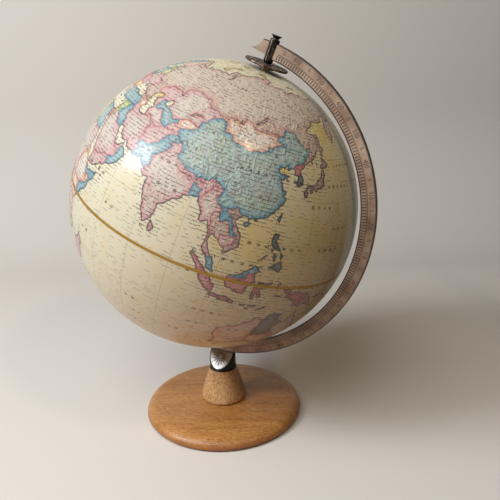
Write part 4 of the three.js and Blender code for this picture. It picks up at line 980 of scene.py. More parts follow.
# Each printing ink: the strong tint laid along a country's edge, the paler one inside it, and the places
# that it covers.
land_inks = {
    "blue": ("#6497ad", "#a9bdb8", """
        103,33 109.8,19.2 121,23.7 34,39 43.5,33 57,21 68.5,28 46,6 102.3,4 114.5,2.3 116.8,5.5 102.6,20.3
        106,15.8 89.8,24 64,41.5 47,5 29,27 19.5,52 15,60.5 -6,32 8,9 -65,7.5
        -102,24 17,-13 -90,15.5"""),
    "rose": ("#cc9699", "#ccc1b8", """
        68,48 78,22 95.5,21.5 45,24 47,15.7 66,34 30,14 -1.5,52.5 -8,53.3 9,61 25,46 -100,58
        -66,-40 -85,70 -80,80 -110,71 -121,73 -56,49 2,28 -2,7.5 47,-20 35,-5 -58,4 -78,22
        30.5,48.8 22.5,38.8 84,28.2 90.3,27.3 54,33 60,39 105,12.7 72,38.6 99.4,8.4"""),
    "orange": ("#d29c88", "#ddd5c9", """
        103,46.5 105,22.3 74,41.3 39,8 121,-26 144,-23 12.5,43 26,62.5
        -76,-9 -74,4 -71,-36 28,-19 19,15 -12,21 46,40.5 10,51 40,-1 -83,14 -63,-17 -72,19 147,-42
        -155,65 5.5,17 24.9,35.2"""),
    "scarlet": ("#c27a82", "#c99f98", """
        101.5,-0.5 110,-7.3 114,-1 120.2,-2 118,-8.7 121.5,-8.5 124,-9.6 130,-3.4 127.9,1 138,-4 144,-6.5
        127,40.3 149.5,-5.9 20.5,44 16,2.2 33,32 -86,12.8"""),
    "violet": ("#ab8a86", "#bdaca4", """
        139,36.5 132.5,34.6 143,43.3 131,32.3 133.5,33.6 80.8,7.3 108,12.8 23,-3 5,46.5 -78,-1.5 -8,39.5"""),
    "grey": ("#5d6a6c", "#8f9186", """
        133,-20 128,36.3 121.3,16.5 125,11.5 122.4,10.5 121,12.8 118.5,9.8 124.8,7.8 38.5,35 -55,4
        -3,17 14,50"""),
    "sage": ("#9fae6c", "#cfcba0", """
        -98,40 -50,-10 18,27 15,67 147,-32 35,-17 36,33 -4,12 172,-43 176,-39 26,56.5
        14,-20 28,55 15,40 -5,6 -18.5,65"""),
    "straw": ("#d9b75a", "#ddd0a4", """
        -40,75 145,-36.8 24.5,42.8 26,-27 -15,14.5 12,-2 21,6.5 -85,10.2 9.5,34 20,41
        0,-85 20,78.5 57,74 98,80 57,80.6 144,75.5"""),
    "pale rose": ("#c69a91", "#c9bcac", "101.5,15.3 100,60 45,56 142.5,50.5"),
}

# Mountain crests, each with the share of the full emboss height that it stands up.
ridges = {
    "72,34 78,33 84,29 89,28.2 94,29 97,27.5": 1.0, "75,36 82,36 88,36.5 95,36": 0.9,
    "82,33.5 90,33 97,33": 0.7, "70,41 78,42 86,43.5 93,43": 0.85, "84,49 90,48.5 96,47 102,45.5": 0.7,
    "92,50.5 98,51.5 104,52 113,51": 0.6, "98,31 101,28 103,30 104,33": 0.8, "97,38 102,36.5 108,34": 0.6,
    "113,53 121,55.5 128,56 134,58 140,61": 0.55, "125,64 130,67 136,64 145,66 152,62": 0.5,
    "158,54 160,57": 0.5, "59,52 59,57 60,62 64,66": 0.5, "118,45 122,49 124,52": 0.45,
    "110,37 113,40": 0.4, "127,41.5 129,43 135,47": 0.45, "110,26 106,27 103,24": 0.5,
    "98,25 99,18 98.5,14": 0.45, "104,20 107,15.5 108.5,13": 0.5, "73.5,20 74.5,16 76.5,11 77.2,8.8": 0.5,
    "78.5,14.5 80,18 84,20": 0.3, "45,36.5 49,33 53,29.5": 0.75, "49,37.2 52,36.2 56,37 59,36.5": 0.7,
    "62,35 67,35 71,36.5": 0.85, "38,43.3 43,43 47,41.8": 0.8, "30,37 34,37.3 38,37.8 43,38.5": 0.6,
    "31,41 36,40.8 41,40.7": 0.5, "43,17.5 41,20 39,24": 0.5, "44,14.2 45,13.5": 0.5,
    "37,14 38,11 37,8 39,6": 0.6, "37,0 36,-3 34,-8": 0.5, "29.5,1 29,-3": 0.5,
    "29.5,-30 27,-31.5 22,-32": 0.45, "-5,32 -1,34 6,35.5": 0.55, "9,4 12,7": 0.35,
    "6.5,44.5 8,46.2 12,47 15,47": 0.8, "-1.5,43 1,42.6": 0.6, "16,44.5 20,42 22,39": 0.5,
    "20,49.3 24,48.3 25.5,46 23,45.4": 0.45, "7,61 9,63 15,66.5": 0.5, "99,2 101,0 103.5,-4": 0.6,
    "107,-7 111,-7.8 115,-8.3": 0.6, "115,1.5 117,4.5": 0.5, "137,-4 141,-5.5 146,-6.5": 0.75,
    "121,17 121,14.5": 0.4, "121.3,24.2 120.8,22.8": 0.5, "137.5,35.5 140.5,38.5": 0.5,
    "145,-37 148.5,-36 150,-32 151,-28": 0.4, "169,-44.5 172,-42": 0.6, "-150,62.5 -142,61": 0.7,
    "-140,60 -130,56 -124,52 -118,50": 0.7, "-116,48 -112,44 -108,39.5 -105.5,36": 0.75,
    "-121.5,46 -121,40.5 -118.5,36.5": 0.6, "-107,30 -104,24 -99,19.5": 0.6, "-84,35 -79,38 -72,44": 0.4,
    "-73,7 -76,3 -78.5,-1 -77.5,-8": 0.85, "-75,-12 -70,-15.5 -67,-20": 0.95,
    "-69,-24 -70,-30 -70.5,-36 -72,-44 -73,-50": 0.85, "-62,5 -66,3": 0.4, "-44,-20 -49,-25": 0.35,
    "-45,77 -35,73 -40,66": 0.5, "-60,-75 -65,-70": 0.5, "160,-76 165,-72": 0.6, "90,-80 60,-80": 0.5,
}
# Ochre tints on the seas: place, reach in degrees and strength.
ochre_patches = [
    ((148, 57), 9, 0.75), ((152, 42), 13, 0.6), ((120, 38.6), 2.5, 0.9), ((138, 14), 22, 0.6),
    ((114, 14), 16, 0.6), ((40, 74), 12, 0.2), ((51, 46), 2.2, 0.9), ((134, 40), 5, 0.5),
    ((-30, 40), 14, 0.3), ((-140, -10), 20, 0.3),
]

map_turn = math.radians(195.9)  # how far the map is turned round its axis at rest
ball_radius = 150  # mm, over which the print is measured
sea_level, relief_height = 0.14985, 0.00025
band_edge, pole_edge = 0.592, 88.5483  # the skin's ends at the groove and at the pole hole, in degrees
west, east = -169.0, 191.0  # the chart's cut, down the Bering Strait
chart_end, row_step = 88.9, 2.0
pen = random.Random(11)


def points(text):
    """The places in a text of longitude,latitude pairs."""
    return [tuple(float(n) for n in pair.split(",")) for pair in text.split()]


def wander(line, wobble=0.16, longest=0.9):
    """The line in pieces of under a degree, every new point pushed a little to one side."""
    result = [line[0]]
    for a, b in zip(line, line[1:]):
        if min(a[1], b[1]) < -89 or a[0] == b[0] == east or a[0] == b[0] == west:
            result.append(b)  # the chart's own edges stay straight
            continue
        stack = [(a, b)]
        while stack:
            p, q = stack.pop()
            narrow = math.cos(math.radians((p[1] + q[1]) / 2))
            across, along = (q[0] - p[0]) * narrow, q[1] - p[1]
            if math.hypot(across, along) <= longest:
                result.append(q)
                continue
            push = pen.uniform(-wobble, wobble)
            middle = ((p[0] + q[0]) / 2 - push * along / max(narrow, 0.1), (p[1] + q[1]) / 2 + push * across)
            stack += [(middle, q), (p, middle)]
    return result


def flat(lon, lat):
    """Longitude and latitude on the angle-true chart on which the skin is cut into triangles."""
    lat = max(-chart_end, min(chart_end, lat))
    return Vector((math.radians(lon), math.log(math.tan(math.pi / 4 + math.radians(lat) / 2))))


def latitude_of(y):
    """The latitude in degrees of a height on the chart."""
    return np.degrees(2 * np.arctan(np.exp(y)) - np.pi / 2)


def on_ball(lon, lat):
    """A place on a ball of radius 1."""
    turn, rise = math.radians(lon) + map_turn, math.radians(lat)
    return Vector((math.cos(rise) * math.cos(turn), math.cos(rise) * math.sin(turn), math.sin(rise)))


def search_tree(numbered):
    """A tree that finds the nearest of some numbered points."""
    tree = kdtree.KDTree(len(numbered))
    for number, spot in numbered:
        tree.insert(spot, number)
    tree.balance()
    return tree


chart, chart_edges = [], []


def draw(line):
    """Draws a line of places on the chart."""
    first = len(chart)
    chart.extend(flat(*p) for p in line)
    chart_edges.extend((i, i + 1) for i in range(first, len(chart) - 1))
    return np.array(chart[first:])


def shore(text):
    """Draws a closed shore, less ragged round a small island."""
    ring = points(text)
    return draw(wander(ring + ring[:1], 0.16 if len(ring) > 9 else 0.06))


# Shores and borders first, then the chart's frame, the countries' seeds and rows of points between.
shores = [shore(text) for text in coasts.values()]
lakes = [shore(text) for text in inland_waters.values()]
coast_edges = len(chart_edges)
for line in borders.strip().splitlines():
    draw(wander(points(line)))
print_edges = len(chart_edges)
near_print = search_tree([(i, on_ball(math.degrees(p.x), latitude_of(p.y))) for i, p in enumerate(chart)])

ends = [-pole_edge, -band_edge, band_edge, pole_edge]
rows = sorted(ends + [row_step * k for k in range(-43, 44) if k])
for side in (west, east):
    draw([(side, lat) for lat in rows])
for lat in ends:
    draw([(west, lat), (east, lat)])
seeds = []
for name, (_, _, places) in land_inks.items():
    for place in points(places):
        seeds.append((len(chart), name))
        chart.append(flat(*place))
for number, lat in enumerate(rows):
    count = round(360 / min(15, row_step / math.cos(math.radians(lat))))
    shift = 0.5 if number % 2 else 0.0
    for lon in (west + 360 * (k + shift) / count for k in range(count) if k + shift > 0):
        if lat % 2 or near_print.find(on_ball(lon, lat))[2] > math.radians(0.8):
            chart.append(flat(lon, lat))

# The chart is cut into triangles twice. In between, every plain line that joins two printed points gets a
# point in its middle, so that a strip of land is more than its two edges.
for attempt in range(2):
    cut = delaunay_2d_cdt(chart, chart_edges, [], 0, 1e-9, True)
    spots, lines, triangles, from_spots, from_lines, _ = cut
    line_kind = {}
    for line, sources in zip(lines, from_lines):
        kinds = [0 if s < coast_edges else 1 for s in sources if s < print_edges]
        line_kind[tuple(sorted(line))] = min(kinds) if kinds else 2
    on_print = {v for line, kind in line_kind.items() if kind < 2 for v in line}
    if attempt == 0:
        for (a, b), kind in line_kind.items():
            if kind == 2 and a in on_print and b in on_print and (spots[a] - spots[b]).length > 0.004:
                chart.append((spots[a] + spots[b]) / 2)


def holds(ring, spot):
    """Whether a closed shore line runs round a point of the chart."""
    x, y = ring[:, 0], ring[:, 1]
    x2, y2 = np.roll(x, -1), np.roll(y, -1)
    level = (y > spot[1]) != (y2 > spot[1])
    crossing = x + (spot[1] - y) * (x2 - x) / np.where(y2 == y, 1, y2 - y)
    return np.count_nonzero(level & (spot[0] < crossing)) % 2 == 1


# Triangles that no coast or border parts form one country or sea, and take its seed's ink.
chart_spots = np.array(spots)
corners = np.array(triangles)
centres = chart_spots[corners].mean(axis=1)
beside, faces_at = {}, {}
for number, triangle in enumerate(triangles):
    for a, b in zip(triangle, triangle[1:] + triangle[:1]):
        beside.setdefault((min(a, b), max(a, b)), []).append(number)
        faces_at.setdefault(a, number)
neighbours = [[] for _ in triangles]
for line, pair in beside.items():
    if len(pair) == 2 and line_kind[line] == 2:
        neighbours[pair[0]].append(pair[1])
        neighbours[pair[1]].append(pair[0])
country = np.full(len(triangles), -1)
countries = 0
for start in range(len(triangles)):
    if country[start] < 0:
        country[start], front = countries, [start]
        while front:
            for near in neighbours[front.pop()]:
                if country[near] < 0:
                    country[near] = countries
                    front.append(near)
        countries += 1
lat_of = latitude_of(chart_spots[:, 1])
lon_of = np.degrees(chart_spots[:, 0])
turn, rise = np.radians(lon_of) + map_turn, np.radians(lat_of)
sphere = np.stack([np.cos(rise) * np.cos(turn), np.cos(rise) * np.sin(turn), np.sin(rise)], axis=1)
centre_on_ball = sphere[corners].mean(axis=1)
spot_of_chart = {}
for v, sources in enumerate(from_spots):
    for source in sources:
        spot_of_chart[source] = v
ink_of = {country[faces_at[spot_of_chart[i]]]: name for i, name in seeds}
seed_spots = np.array([sphere[spot_of_chart[i]] for i, _ in seeds])
is_land = np.zeros(countries, bool)
for number in range(countries):
    members = np.flatnonzero(country == number)
    a, b, c = (sphere[corners[members, k]] for k in range(3))
    largest = members[np.argmax(np.linalg.norm(np.cross(b - a, c - a), axis=1))]
    spot = centres[largest]
    in_lake = any(holds(ring, spot) for ring in lakes)
    is_land[number] = any(holds(ring, spot) for ring in shores) and not in_lake
    if is_land[number] and number not in ink_of:
        middle = centre_on_ball[members].mean(axis=0)
        ink_of[number] = seeds[int(np.argmax(seed_spots @ middle))][1]

# How far each point of the skin is from print, from a shore and from a ridge, for the inks and the relief.
on_shore = {v for line, kind in line_kind.items() if kind == 0 for v in line}


def distance_to(members):
    """How far each point of the skin is from the nearest member, in mm."""
    near = search_tree([(v, sphere[v]) for v in members])
    away = [0.0 if v in members else near.find(spot)[2] * ball_radius for v, spot in enumerate(sphere)]
    return np.array(away)


border_mm = distance_to(on_print)
shore_mm = distance_to(on_shore)
relief = np.zeros(len(sphere))
for text, height in ridges.items():
    crest = [on_ball(*p) for p in wander(points(text), 0.2, 1.5)]
    for a, b in zip(crest, crest[1:]):
        middle, reach = (a + b) / 2, 0.012 + 0.016 * height
        away = np.linalg.norm(sphere - np.array(middle), axis=1) / reach
        relief = np.maximum(relief, height * np.exp(-away * away))
rough = np.array([noise.noise(Vector(p) * 55) * 0.6 + noise.noise(Vector(p) * 120) * 0.4 for p in sphere])

# Ridges are broken up by roughness, low ground rises a little from the shore, and the equator stays flat.
spot_land = np.zeros(len(sphere), bool)
spot_land[corners[is_land[country]].ravel()] = True
relief *= np.clip(0.75 + 0.8 * rough, 0, 1) * spot_land
relief += spot_land * np.clip(0.10 + 0.12 * rough, 0, 1) * np.clip(shore_mm / 3, 0, 1)
relief *= np.clip((np.abs(lat_of) - 0.6) / 1.5, 0, 1)
skin = sphere * (sea_level + relief_height * np.clip(relief, 0, 1))[:, None]

# Each ochre tint fades out from its middle.
ochre_tint = np.zeros(len(sphere))
for (lon, lat), reach, share in ochre_patches:
    away = np.degrees(np.arccos(np.clip(sphere @ np.array(on_ball(lon, lat)), -1, 1))) / reach
    ochre_tint = np.maximum(ochre_tint, share * np.exp(-away * away))

# Points on the cut's east side are the same points of the ball as those on its west side.
home = np.arange(len(sphere))
at_west = {round(float(lat_of[v]), 5): v for v in np.flatnonzero(lon_of < west + 1e-4)}
for v in np.flatnonzero(lon_of > east - 1e-4):
    home[v] = at_west[round(float(lat_of[v]), 5)]
middle_lat = latitude_of(centres[:, 1])
on_skin = np.abs(np.degrees(centres[:, 0]) - (west + east) / 2) < 180
on_skin &= np.abs(middle_lat) < pole_edge - math.degrees(1e-5)

groove_radius, groove_half, seam_half, shell_inside, pole_hole = 0.1495, 0.00155, 0.00015, 0.1478, 0.0038
inside_steps = 96


def stitch(shape, one, other):
    """Triangles between two rings round the polar axis that have different numbers of points."""
    rings = []
    for ring in (one, other):
        ring = sorted((math.atan2(v.co.y, v.co.x), n, v) for n, v in enumerate(ring))
        rings.append(ring + [(ring[0][0] + math.tau, 0, ring[0][2])])
    i = j = 0
    while i + j < len(rings[0]) + len(rings[1]) - 2:
        a, b = rings[0][i][2], rings[1][j][2]
        if j == len(rings[1]) - 1 or (i < len(rings[0]) - 1 and rings[0][i + 1][0] < rings[1][j + 1][0]):
            i += 1
            shape.faces.new((a, b, rings[0][i][2]))
        else:
            j += 1
            shape.faces.new((a, b, rings[1][j][2]))


def map_half(side):
    """One pressed half: printed skin, groove and seam edge at the equator, plain inside and pole hole."""
    members = np.flatnonzero(on_skin & (middle_lat * side > band_edge))
    used, faces = np.unique(home[corners[members]], return_inverse=True)
    shape = bmesh.new()
    fields = {"border_mm": border_mm, "shore_mm": shore_mm, "relief": relief, "sea_ochre": ochre_tint}
    values = {name: shape.verts.layers.float.new(name) for name in fields}
    edge_ink, wash = (shape.loops.layers.float_color.new(name) for name in ("edge_ink", "wash"))
    land = shape.loops.layers.float.new("land")
    chart_map = shape.loops.layers.uv.new("OFBake")
    made = [shape.verts.new(skin[v]) for v in used]
    for vert, v in zip(made, used):
        for name, field in fields.items():
            vert[values[name]] = field[v]
    inks = {name: (colour(edge), colour(inner)) for name, (edge, inner, _) in land_inks.items()}
    for face, number in zip(faces.reshape(-1, 3), members):
        printed = shape.faces.new([made[v] for v in face])
        if is_land[country[number]]:
            for loop in printed.loops:
                loop[edge_ink], loop[wash] = inks[ink_of[country[number]]]
                loop[land] = 1.0
    skin_faces = set(shape.faces)
    rims = {True: [], False: []}
    for line in shape.edges:
        if line.is_boundary:
            rims[abs(line.verts[0].co.z) < 0.01].append(line)
    pole_rim = {v: None for line in rims[False] for v in line.verts}

    # the groove's wall and its bed, down to the seam, in the ink of the skin above
    strip = [(*line.verts, line.link_faces[0]) for line in rims[True]]
    for height in (groove_half, seam_half):
        below = {}
        for vert in dict.fromkeys(v for a, b, _ in strip for v in (a, b)):
            level = math.hypot(vert.co.x, vert.co.y) / groove_radius
            below[vert] = shape.verts.new((vert.co.x / level, vert.co.y / level, side * height), vert)
        walls = []
        for a, b, above in strip:
            wall = shape.faces.new((a, b, below[b], below[a]))
            for loop in wall.loops:
                loop.copy_from(above.loops[0])
            walls.append((below[a], below[b], wall))
        strip = walls
    seam = {v: None for a, b, _ in strip for v in (a, b)}

    # the inside
    heights = [math.asin(seam_half / shell_inside)] + [math.radians(k) for k in range(4, 88, 4)]
    heights.append(math.acos(pole_hole / shell_inside))
    angles = [math.tau * k / inside_steps for k in range(inside_steps)]
    rings = []
    for rise in heights:
        radius, height = shell_inside * math.cos(rise), side * shell_inside * math.sin(rise)
        rings.append([shape.verts.new((radius * math.cos(a), radius * math.sin(a), height)) for a in angles])
    for low, high in zip(rings, rings[1:]):
        for k in range(inside_steps):
            shape.faces.new((low[k], high[k], high[k - 1], low[k - 1]))
    stitch(shape, seam, rings[0])
    stitch(shape, pole_rim, rings[-1])
    bmesh.ops.recalc_face_normals(shape, faces=shape.faces)

    # the skin lies on a large disc as seen from the pole, all the rest on a small one in the corner
    for face in shape.faces:
        middle, size = (0.5, 0.485) if face in skin_faces else (0.07, 0.065)
        for loop in face.loops:
            x, y, z = loop.vert.co
            reach = size * math.atan2(math.hypot(x, y), abs(z)) / (math.pi / 2)
            turn = math.atan2(y, x)
            loop[chart_map].uv = (middle + reach * math.cos(turn), middle + side * reach * math.sin(turn))
    shape.transform(ball_frame)
    return shape

# Offset print on embossed paper under varnish: parchment seas, countries strong in ink along their edges and
# washed out inside, dark shores and borders 0.4 mm wide, a 15 degree net, and rows of place names too small
# to read. Emboss bumps of 2 to 6 mm on the land with painted shade in their hollows, gore joints every 30
# degrees, and a smooth clear coat.


def on_polar_axis(tree):
    """The place in mm from the ball's centre, with Z along the polar axis."""
    place = {"Vector": add(tree, "TexCoord", out=3), "Location": tuple(ball_frame.translation)}
    place.update({"Rotation": (0, axis_tilt, 0), "Scale": (mm, mm, mm)})
    return add(tree, "Mapping", place, vector_type="TEXTURE")


map_print, tree = blank("varnished offset print on embossed paper")
place = on_polar_axis(tree)
x, y, z = (add(tree, "SeparateXYZ", (place,), out=k) for k in range(3))
out_from_centre = add(tree, "VectorMath", (place,), out=1, operation="LENGTH")
latitude = add(tree, "Math", (z, out_from_centre), operation="DIVIDE")
latitude = add(tree, "Math", (latitude,), operation="ARCSINE")
longitude = add(tree, "Math", (add(tree, "Math", (y, x), operation="ARCTAN2"), -map_turn))
narrowing = add(tree, "Math", (latitude,), operation="COSINE")
layers = {"border_mm": 2, "shore_mm": 2, "relief": 2, "sea_ochre": 2, "land": 2, "edge_ink": 0, "wash": 0}
layers = [add(tree, "Attribute", out=k, attribute_name=name) for name, k in layers.items()]
border, shore_gap, relief_share, sea_ochre, land, edge_ink, wash = layers
wander_small = add(tree, "TexNoise", {"Vector": place, "Scale": 0.45, "Detail": 2.0})
wander_wide = add(tree, "TexNoise", {"Vector": place, "Scale": 0.06, "Detail": 4.0})

# the sea: parchment with ochre tints
ochre = add(tree, "Math", (wander_wide, sea_ochre))
ochre = add(tree, "MapRange", {0: ochre, 1: 0.5, 2: 1.35, 3: 0.0, 4: 0.95})
sea = add(tree, "Mix", {0: ochre, 6: colour("#d9d3bb"), 7: colour("#d8c07a")}, **two_tone)

# the countries: ink along the edge, the wash inside
inward = add(tree, "Math", (border, add(tree, "MapRange", {0: wander_small, 3: -1.6, 4: 1.6})))
band = add(tree, "MapRange", {0: inward, 1: 0.5, 2: 2.8, 4: 0.6}, interpolation_type="SMOOTHSTEP")
wide = add(tree, "MapRange", {0: wander_wide, 1: 0.3, 2: 0.7, 3: -6.0, 4: 6.0})
wide = add(tree, "Math", (inward, wide))
wide = add(tree, "MapRange", {0: wide, 1: 2.0, 2: 7.0, 4: 0.4}, interpolation_type="SMOOTHSTEP")
country_ink = add(tree, "Mix", {0: add(tree, "Math", (band, wide)), 6: edge_ink, 7: wash}, **two_tone)

# patches of mauve and yellow green in the blue countries
blue_land = [add(tree, "SeparateColor", (edge_ink,), out=k) for k in (2, 0)]
blue_land = add(tree, "Math", blue_land, operation="SUBTRACT")
blue_land = add(tree, "MapRange", {0: blue_land, 1: 0.05, 2: 0.2})
for tint, seed in (("#b58aa6", 40.0), ("#b9bb74", 90.0)):
    patch = {"Vector": place, "W": seed, "Scale": 0.09, "Detail": 3.0}
    patch = add(tree, "TexNoise", patch, noise_dimensions="4D")
    patch = add(tree, "MapRange", {0: patch, 1: 0.48, 2: 0.6, 3: 0.0, 4: 0.45})
    patch = add(tree, "Math", (patch, blue_land), operation="MULTIPLY")
    patch = add(tree, "Math", (patch, wide), operation="MULTIPLY")
    country_ink = add(tree, "Mix", {0: patch, 6: country_ink, 7: colour(tint)}, **two_tone)

# painted shade in the hollows of the emboss crinkles, strongest on the ridges
crinkle = {"Vector": place, "Scale": 0.2, "Detail": 4.0, "Roughness": 0.6, "Offset": 0.9, "Gain": 1.5}
crinkle = add(tree, "TexNoise", crinkle, noise_type="RIDGED_MULTIFRACTAL", normalize=False)
painted_hollow_shade = add(tree, "MapRange", {0: crinkle, 1: 0.9, 2: 0.35, 3: 0.0, 4: 0.18})
on_ridge = add(tree, "MapRange", {0: relief_share, 1: 0.05, 2: 0.5, 3: 0.35, 4: 1.0})
painted_hollow_shade = add(tree, "Math", (painted_hollow_shade, on_ridge), operation="MULTIPLY")
country_ink = add(tree, "Mix", {0: painted_hollow_shade, 6: country_ink, 7: colour("#6e5a55")}, **two_tone)
printed_map = add(tree, "Mix", {0: land, 6: sea, 7: country_ink}, **two_tone)


def off_grid(angle, degrees):
    """How far an angle is from the nearest line of a grid, as a share of the grid's step."""
    cell = add(tree, "Math", (angle, math.radians(degrees)), operation="DIVIDE")
    cell = add(tree, "Math", (cell, add(tree, "Math", (cell,), operation="ROUND")), operation="SUBTRACT")
    return add(tree, "Math", (cell,), operation="ABSOLUTE")


# the net of meridians and parallels
net = []
for angle, shrink in ((longitude, narrowing), (latitude, 1.0)):
    off = add(tree, "Math", (off_grid(angle, 15), math.radians(15) * ball_radius), operation="MULTIPLY")
    net.append(add(tree, "Math", (off, shrink), operation="MULTIPLY"))
net = add(tree, "Math", net, operation="MINIMUM")
net = add(tree, "MapRange", {0: net, 1: 0.12, 2: 0.3, 3: 0.5, 4: 0.0})
printed_map = add(tree, "Mix", {0: net, 6: printed_map, 7: colour("#7d6a45")}, **two_tone)

# borders and shores
border_line = add(tree, "MapRange", {0: border, 1: 0.2, 2: 0.55, 3: 0.75, 4: 0.0})
border_line = add(tree, "Math", (border_line, land), operation="MULTIPLY")
deep_ink = add(tree, "Mix", {0: 0.75, 6: edge_ink, 7: colour("#4c3639")}, **two_tone)
printed_map = add(tree, "Mix", {0: border_line, 6: printed_map, 7: deep_ink}, **two_tone)
shore_line = add(tree, "MapRange", {0: shore_gap, 1: 0.25, 2: 0.85, 3: 0.85, 4: 0.0})
printed_map = add(tree, "Mix", {0: shore_line, 6: printed_map, 7: colour("#41404a")}, **two_tone)


def lettering(row_mm, letter_mm, low, high, word_mm, wordy, strips):
    """Rows of unreadable letters along the parallels, between two heights in each row: the share of ink.

    The rows of neighbouring strips between two meridians start at different heights.
    """
    strip = add(tree, "Math", (longitude, strips), operation="MULTIPLY")
    strip = add(tree, "Math", (strip,), operation="FLOOR")
    strip = add(tree, "TexWhiteNoise", {1: strip}, noise_dimensions="1D")
    level = add(tree, "Math", (latitude, ball_radius / row_mm), operation="MULTIPLY")
    level = add(tree, "Math", (level, strip))
    row = add(tree, "Math", (level,), operation="FLOOR")
    within = add(tree, "Math", (level,), operation="FRACT")

    # millimetres along the row's own parallel
    row_cosine = add(tree, "Math", (row, 0.5))
    row_cosine = add(tree, "Math", (row_cosine, row_mm / ball_radius), operation="MULTIPLY")
    row_cosine = add(tree, "Math", (row_cosine,), operation="COSINE")
    along = add(tree, "Math", (longitude, row_cosine), operation="MULTIPLY")
    along = add(tree, "Math", (along, ball_radius), operation="MULTIPLY")

    # words with gaps between them
    word = add(tree, "Math", (along, word_mm), operation="DIVIDE")
    word = add(tree, "CombineXYZ", (word, add(tree, "Math", (row, 7.31), operation="MULTIPLY")))
    word = add(tree, "TexNoise", {"Vector": word, "Scale": 1.0, "Detail": 0.0}, noise_dimensions="2D")
    word = add(tree, "Math", (word, wordy), operation="GREATER_THAN")

    # letters, from small squares with or without ink
    column = add(tree, "Math", (along, letter_mm), operation="DIVIDE")
    column = add(tree, "Math", (column,), operation="FLOOR")
    storey = add(tree, "Math", (within, row_mm / letter_mm * 0.9), operation="MULTIPLY")
    storey = add(tree, "Math", (storey,), operation="FLOOR")
    square = add(tree, "CombineXYZ", (column, storey, row))
    square = add(tree, "Math", (add(tree, "TexWhiteNoise", (square,)), 0.27), operation="GREATER_THAN")
    over = add(tree, "Math", (within, low), operation="GREATER_THAN")
    under = add(tree, "Math", (within, high), operation="LESS_THAN")
    line = add(tree, "Math", (over, under), operation="MULTIPLY")
    ink = add(tree, "Math", (word, square), operation="MULTIPLY")
    return add(tree, "Math", (ink, line), operation="MULTIPLY")


# place names: thick along the shores, sparser and fainter out at sea, and sparser inland to the north
near_shore = add(tree, "MapRange", {0: shore_gap, 1: 2.0, 2: 9.0, 3: 0.38, 4: 0.61})
inland = {0: latitude, 1: math.radians(44), 2: math.radians(56), 3: 0.44, 4: 0.53}
inland = add(tree, "MapRange", inland)
wordiness = add(tree, "Mix", {0: land, 2: near_shore, 3: inland})
names = lettering(3.1, 0.5, 0.36, 0.62, 6.0, wordiness, 9.5)
faint = add(tree, "MapRange", {0: wander_wide, 1: 0.3, 2: 0.7, 3: 0.95, 4: 0.6})
names = add(tree, "Math", (names, faint), operation="MULTIPLY")
sea_names = add(tree, "MapRange", {0: near_shore, 1: 0.42, 2: 0.6, 3: 1.0, 4: 0.65})
sea_names = add(tree, "Mix", {0: land, 2: sea_names, 3: 1.0})
names = add(tree, "Math", (names, sea_names), operation="MULTIPLY")
printed_map = add(tree, "Mix", {0: names, 6: printed_map, 7: colour("#3f3832")}, **two_tone)

# titles of seas and continents, larger and in short runs
titles = lettering(19.0, 0.9, 0.43, 0.57, 34.0, 0.6, 0.0)
run = add(tree, "Math", (longitude, 18), operation="MULTIPLY")
run = add(tree, "Math", (add(tree, "Math", (run,), operation="FRACT"), 0.42), operation="LESS_THAN")
titles = add(tree, "Math", (titles, run), operation="MULTIPLY")
titles = add(tree, "Math", (titles, 0.75), operation="MULTIPLY")
printed_map = add(tree, "Mix", {0: titles, 6: printed_map, 7: colour("#3d362e")}, **two_tone)

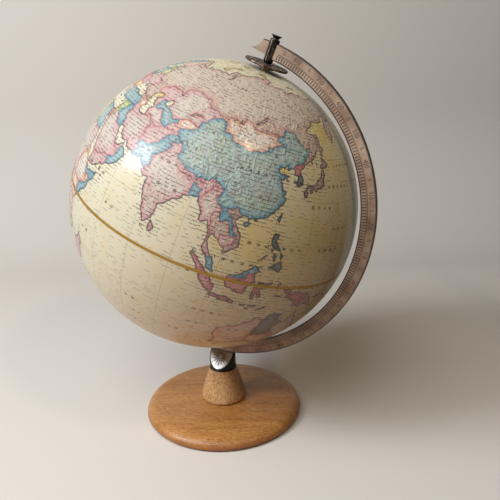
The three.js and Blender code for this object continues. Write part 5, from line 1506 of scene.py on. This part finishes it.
# the emboss, the gore joints, the paper and the varnish
joint = off_grid(add(tree, "Math", (longitude, -math.radians(17))), 30)
joint = add(tree, "Math", (joint, narrowing), operation="MULTIPLY")
joint = add(tree, "MapRange", {0: joint, 1: 0.0, 2: 0.009, 3: 1.0, 4: 0.0})
emboss = add(tree, "MapRange", {0: relief_share, 2: 0.7, 3: 0.3, 4: 1.0})
emboss = add(tree, "Math", (crinkle, emboss), operation="MULTIPLY")
emboss = add(tree, "Math", (emboss, land), operation="MULTIPLY")
paper = add(tree, "TexNoise", {"Vector": place, "Scale": 0.12, "Detail": 2.0})
surface = add(tree, "Math", (emboss, add(tree, "Math", (paper, 0.12), operation="MULTIPLY")))
surface = add(tree, "Math", (surface, add(tree, "Math", (joint, 0.12), operation="MULTIPLY")))
dulling = add(tree, "TexNoise", {"Vector": place, "Scale": 0.9, "Detail": 3.0})
dulling = add(tree, "MapRange", {0: dulling, 1: 0.3, 2: 0.7, 3: 0.5, 4: 0.62})
varnished = {"Base Color": printed_map, "Roughness": dulling, "IOR": 1.5}
varnished.update({"Coat Weight": 0.45, "Coat Roughness": 0.18})
finish(tree, varnished, surface, 0.6 * mm, 1.0)
for side, name in ((1, "north"), (-1, "south")):
    piece(f"{name}_map_half", map_half(side), map_print, "globe", [f"{name}_hemisphere"])

# ---- equator tape ----
# Gold-brown varnished paper tape, 2.5 mm wide, laid in the groove over the seam, with a darker line along
# its middle.

# Gold-printed tape: metallic ochre ink, browner along the middle, lightly scuffed.
gold_tape, tree = blank("gold printed paper tape, varnished")
place = on_polar_axis(tree)
off_middle = add(tree, "SeparateXYZ", (place,), out=2)
off_middle = add(tree, "Math", (off_middle,), operation="ABSOLUTE")
scuff = add(tree, "TexNoise", {"Vector": place, "Scale": 0.8, "Detail": 4.0})
middle_line = add(tree, "MapRange", {0: off_middle, 1: 0.22, 2: 0.36, 3: 0.85, 4: 0.0})
tape_tone = add(tree, "MapRange", {0: scuff, 1: 0.3, 2: 0.7})
tape_tone = add(tree, "Mix", {0: tape_tone, 6: colour("#a9822f"), 7: colour("#c9a148")}, **two_tone)
tape_tone = add(tree, "Mix", {0: middle_line, 6: tape_tone, 7: colour("#7a5a1e")}, **two_tone)
tape_gloss = add(tree, "MapRange", {0: scuff, 3: 0.3, 4: 0.5})
gold = {"Base Color": tape_tone, "Metallic": 0.25, "Roughness": tape_gloss}
finish(tree, gold, scuff, 0.05 * mm, 0.4)
tape_half = 1.25
tape_profile = [(149.8, -tape_half), (150.0, -tape_half), *bend(148.6, 0, 1.5, 1.6, -42, 42, 6)[1:-1]]
tape_profile += [(150.0, tape_half), (149.8, tape_half)]
tape = turned(tape_profile, 240, ball_frame)
piece("equator_tape", tape, gold_tape, "globe", ["equator_band"])
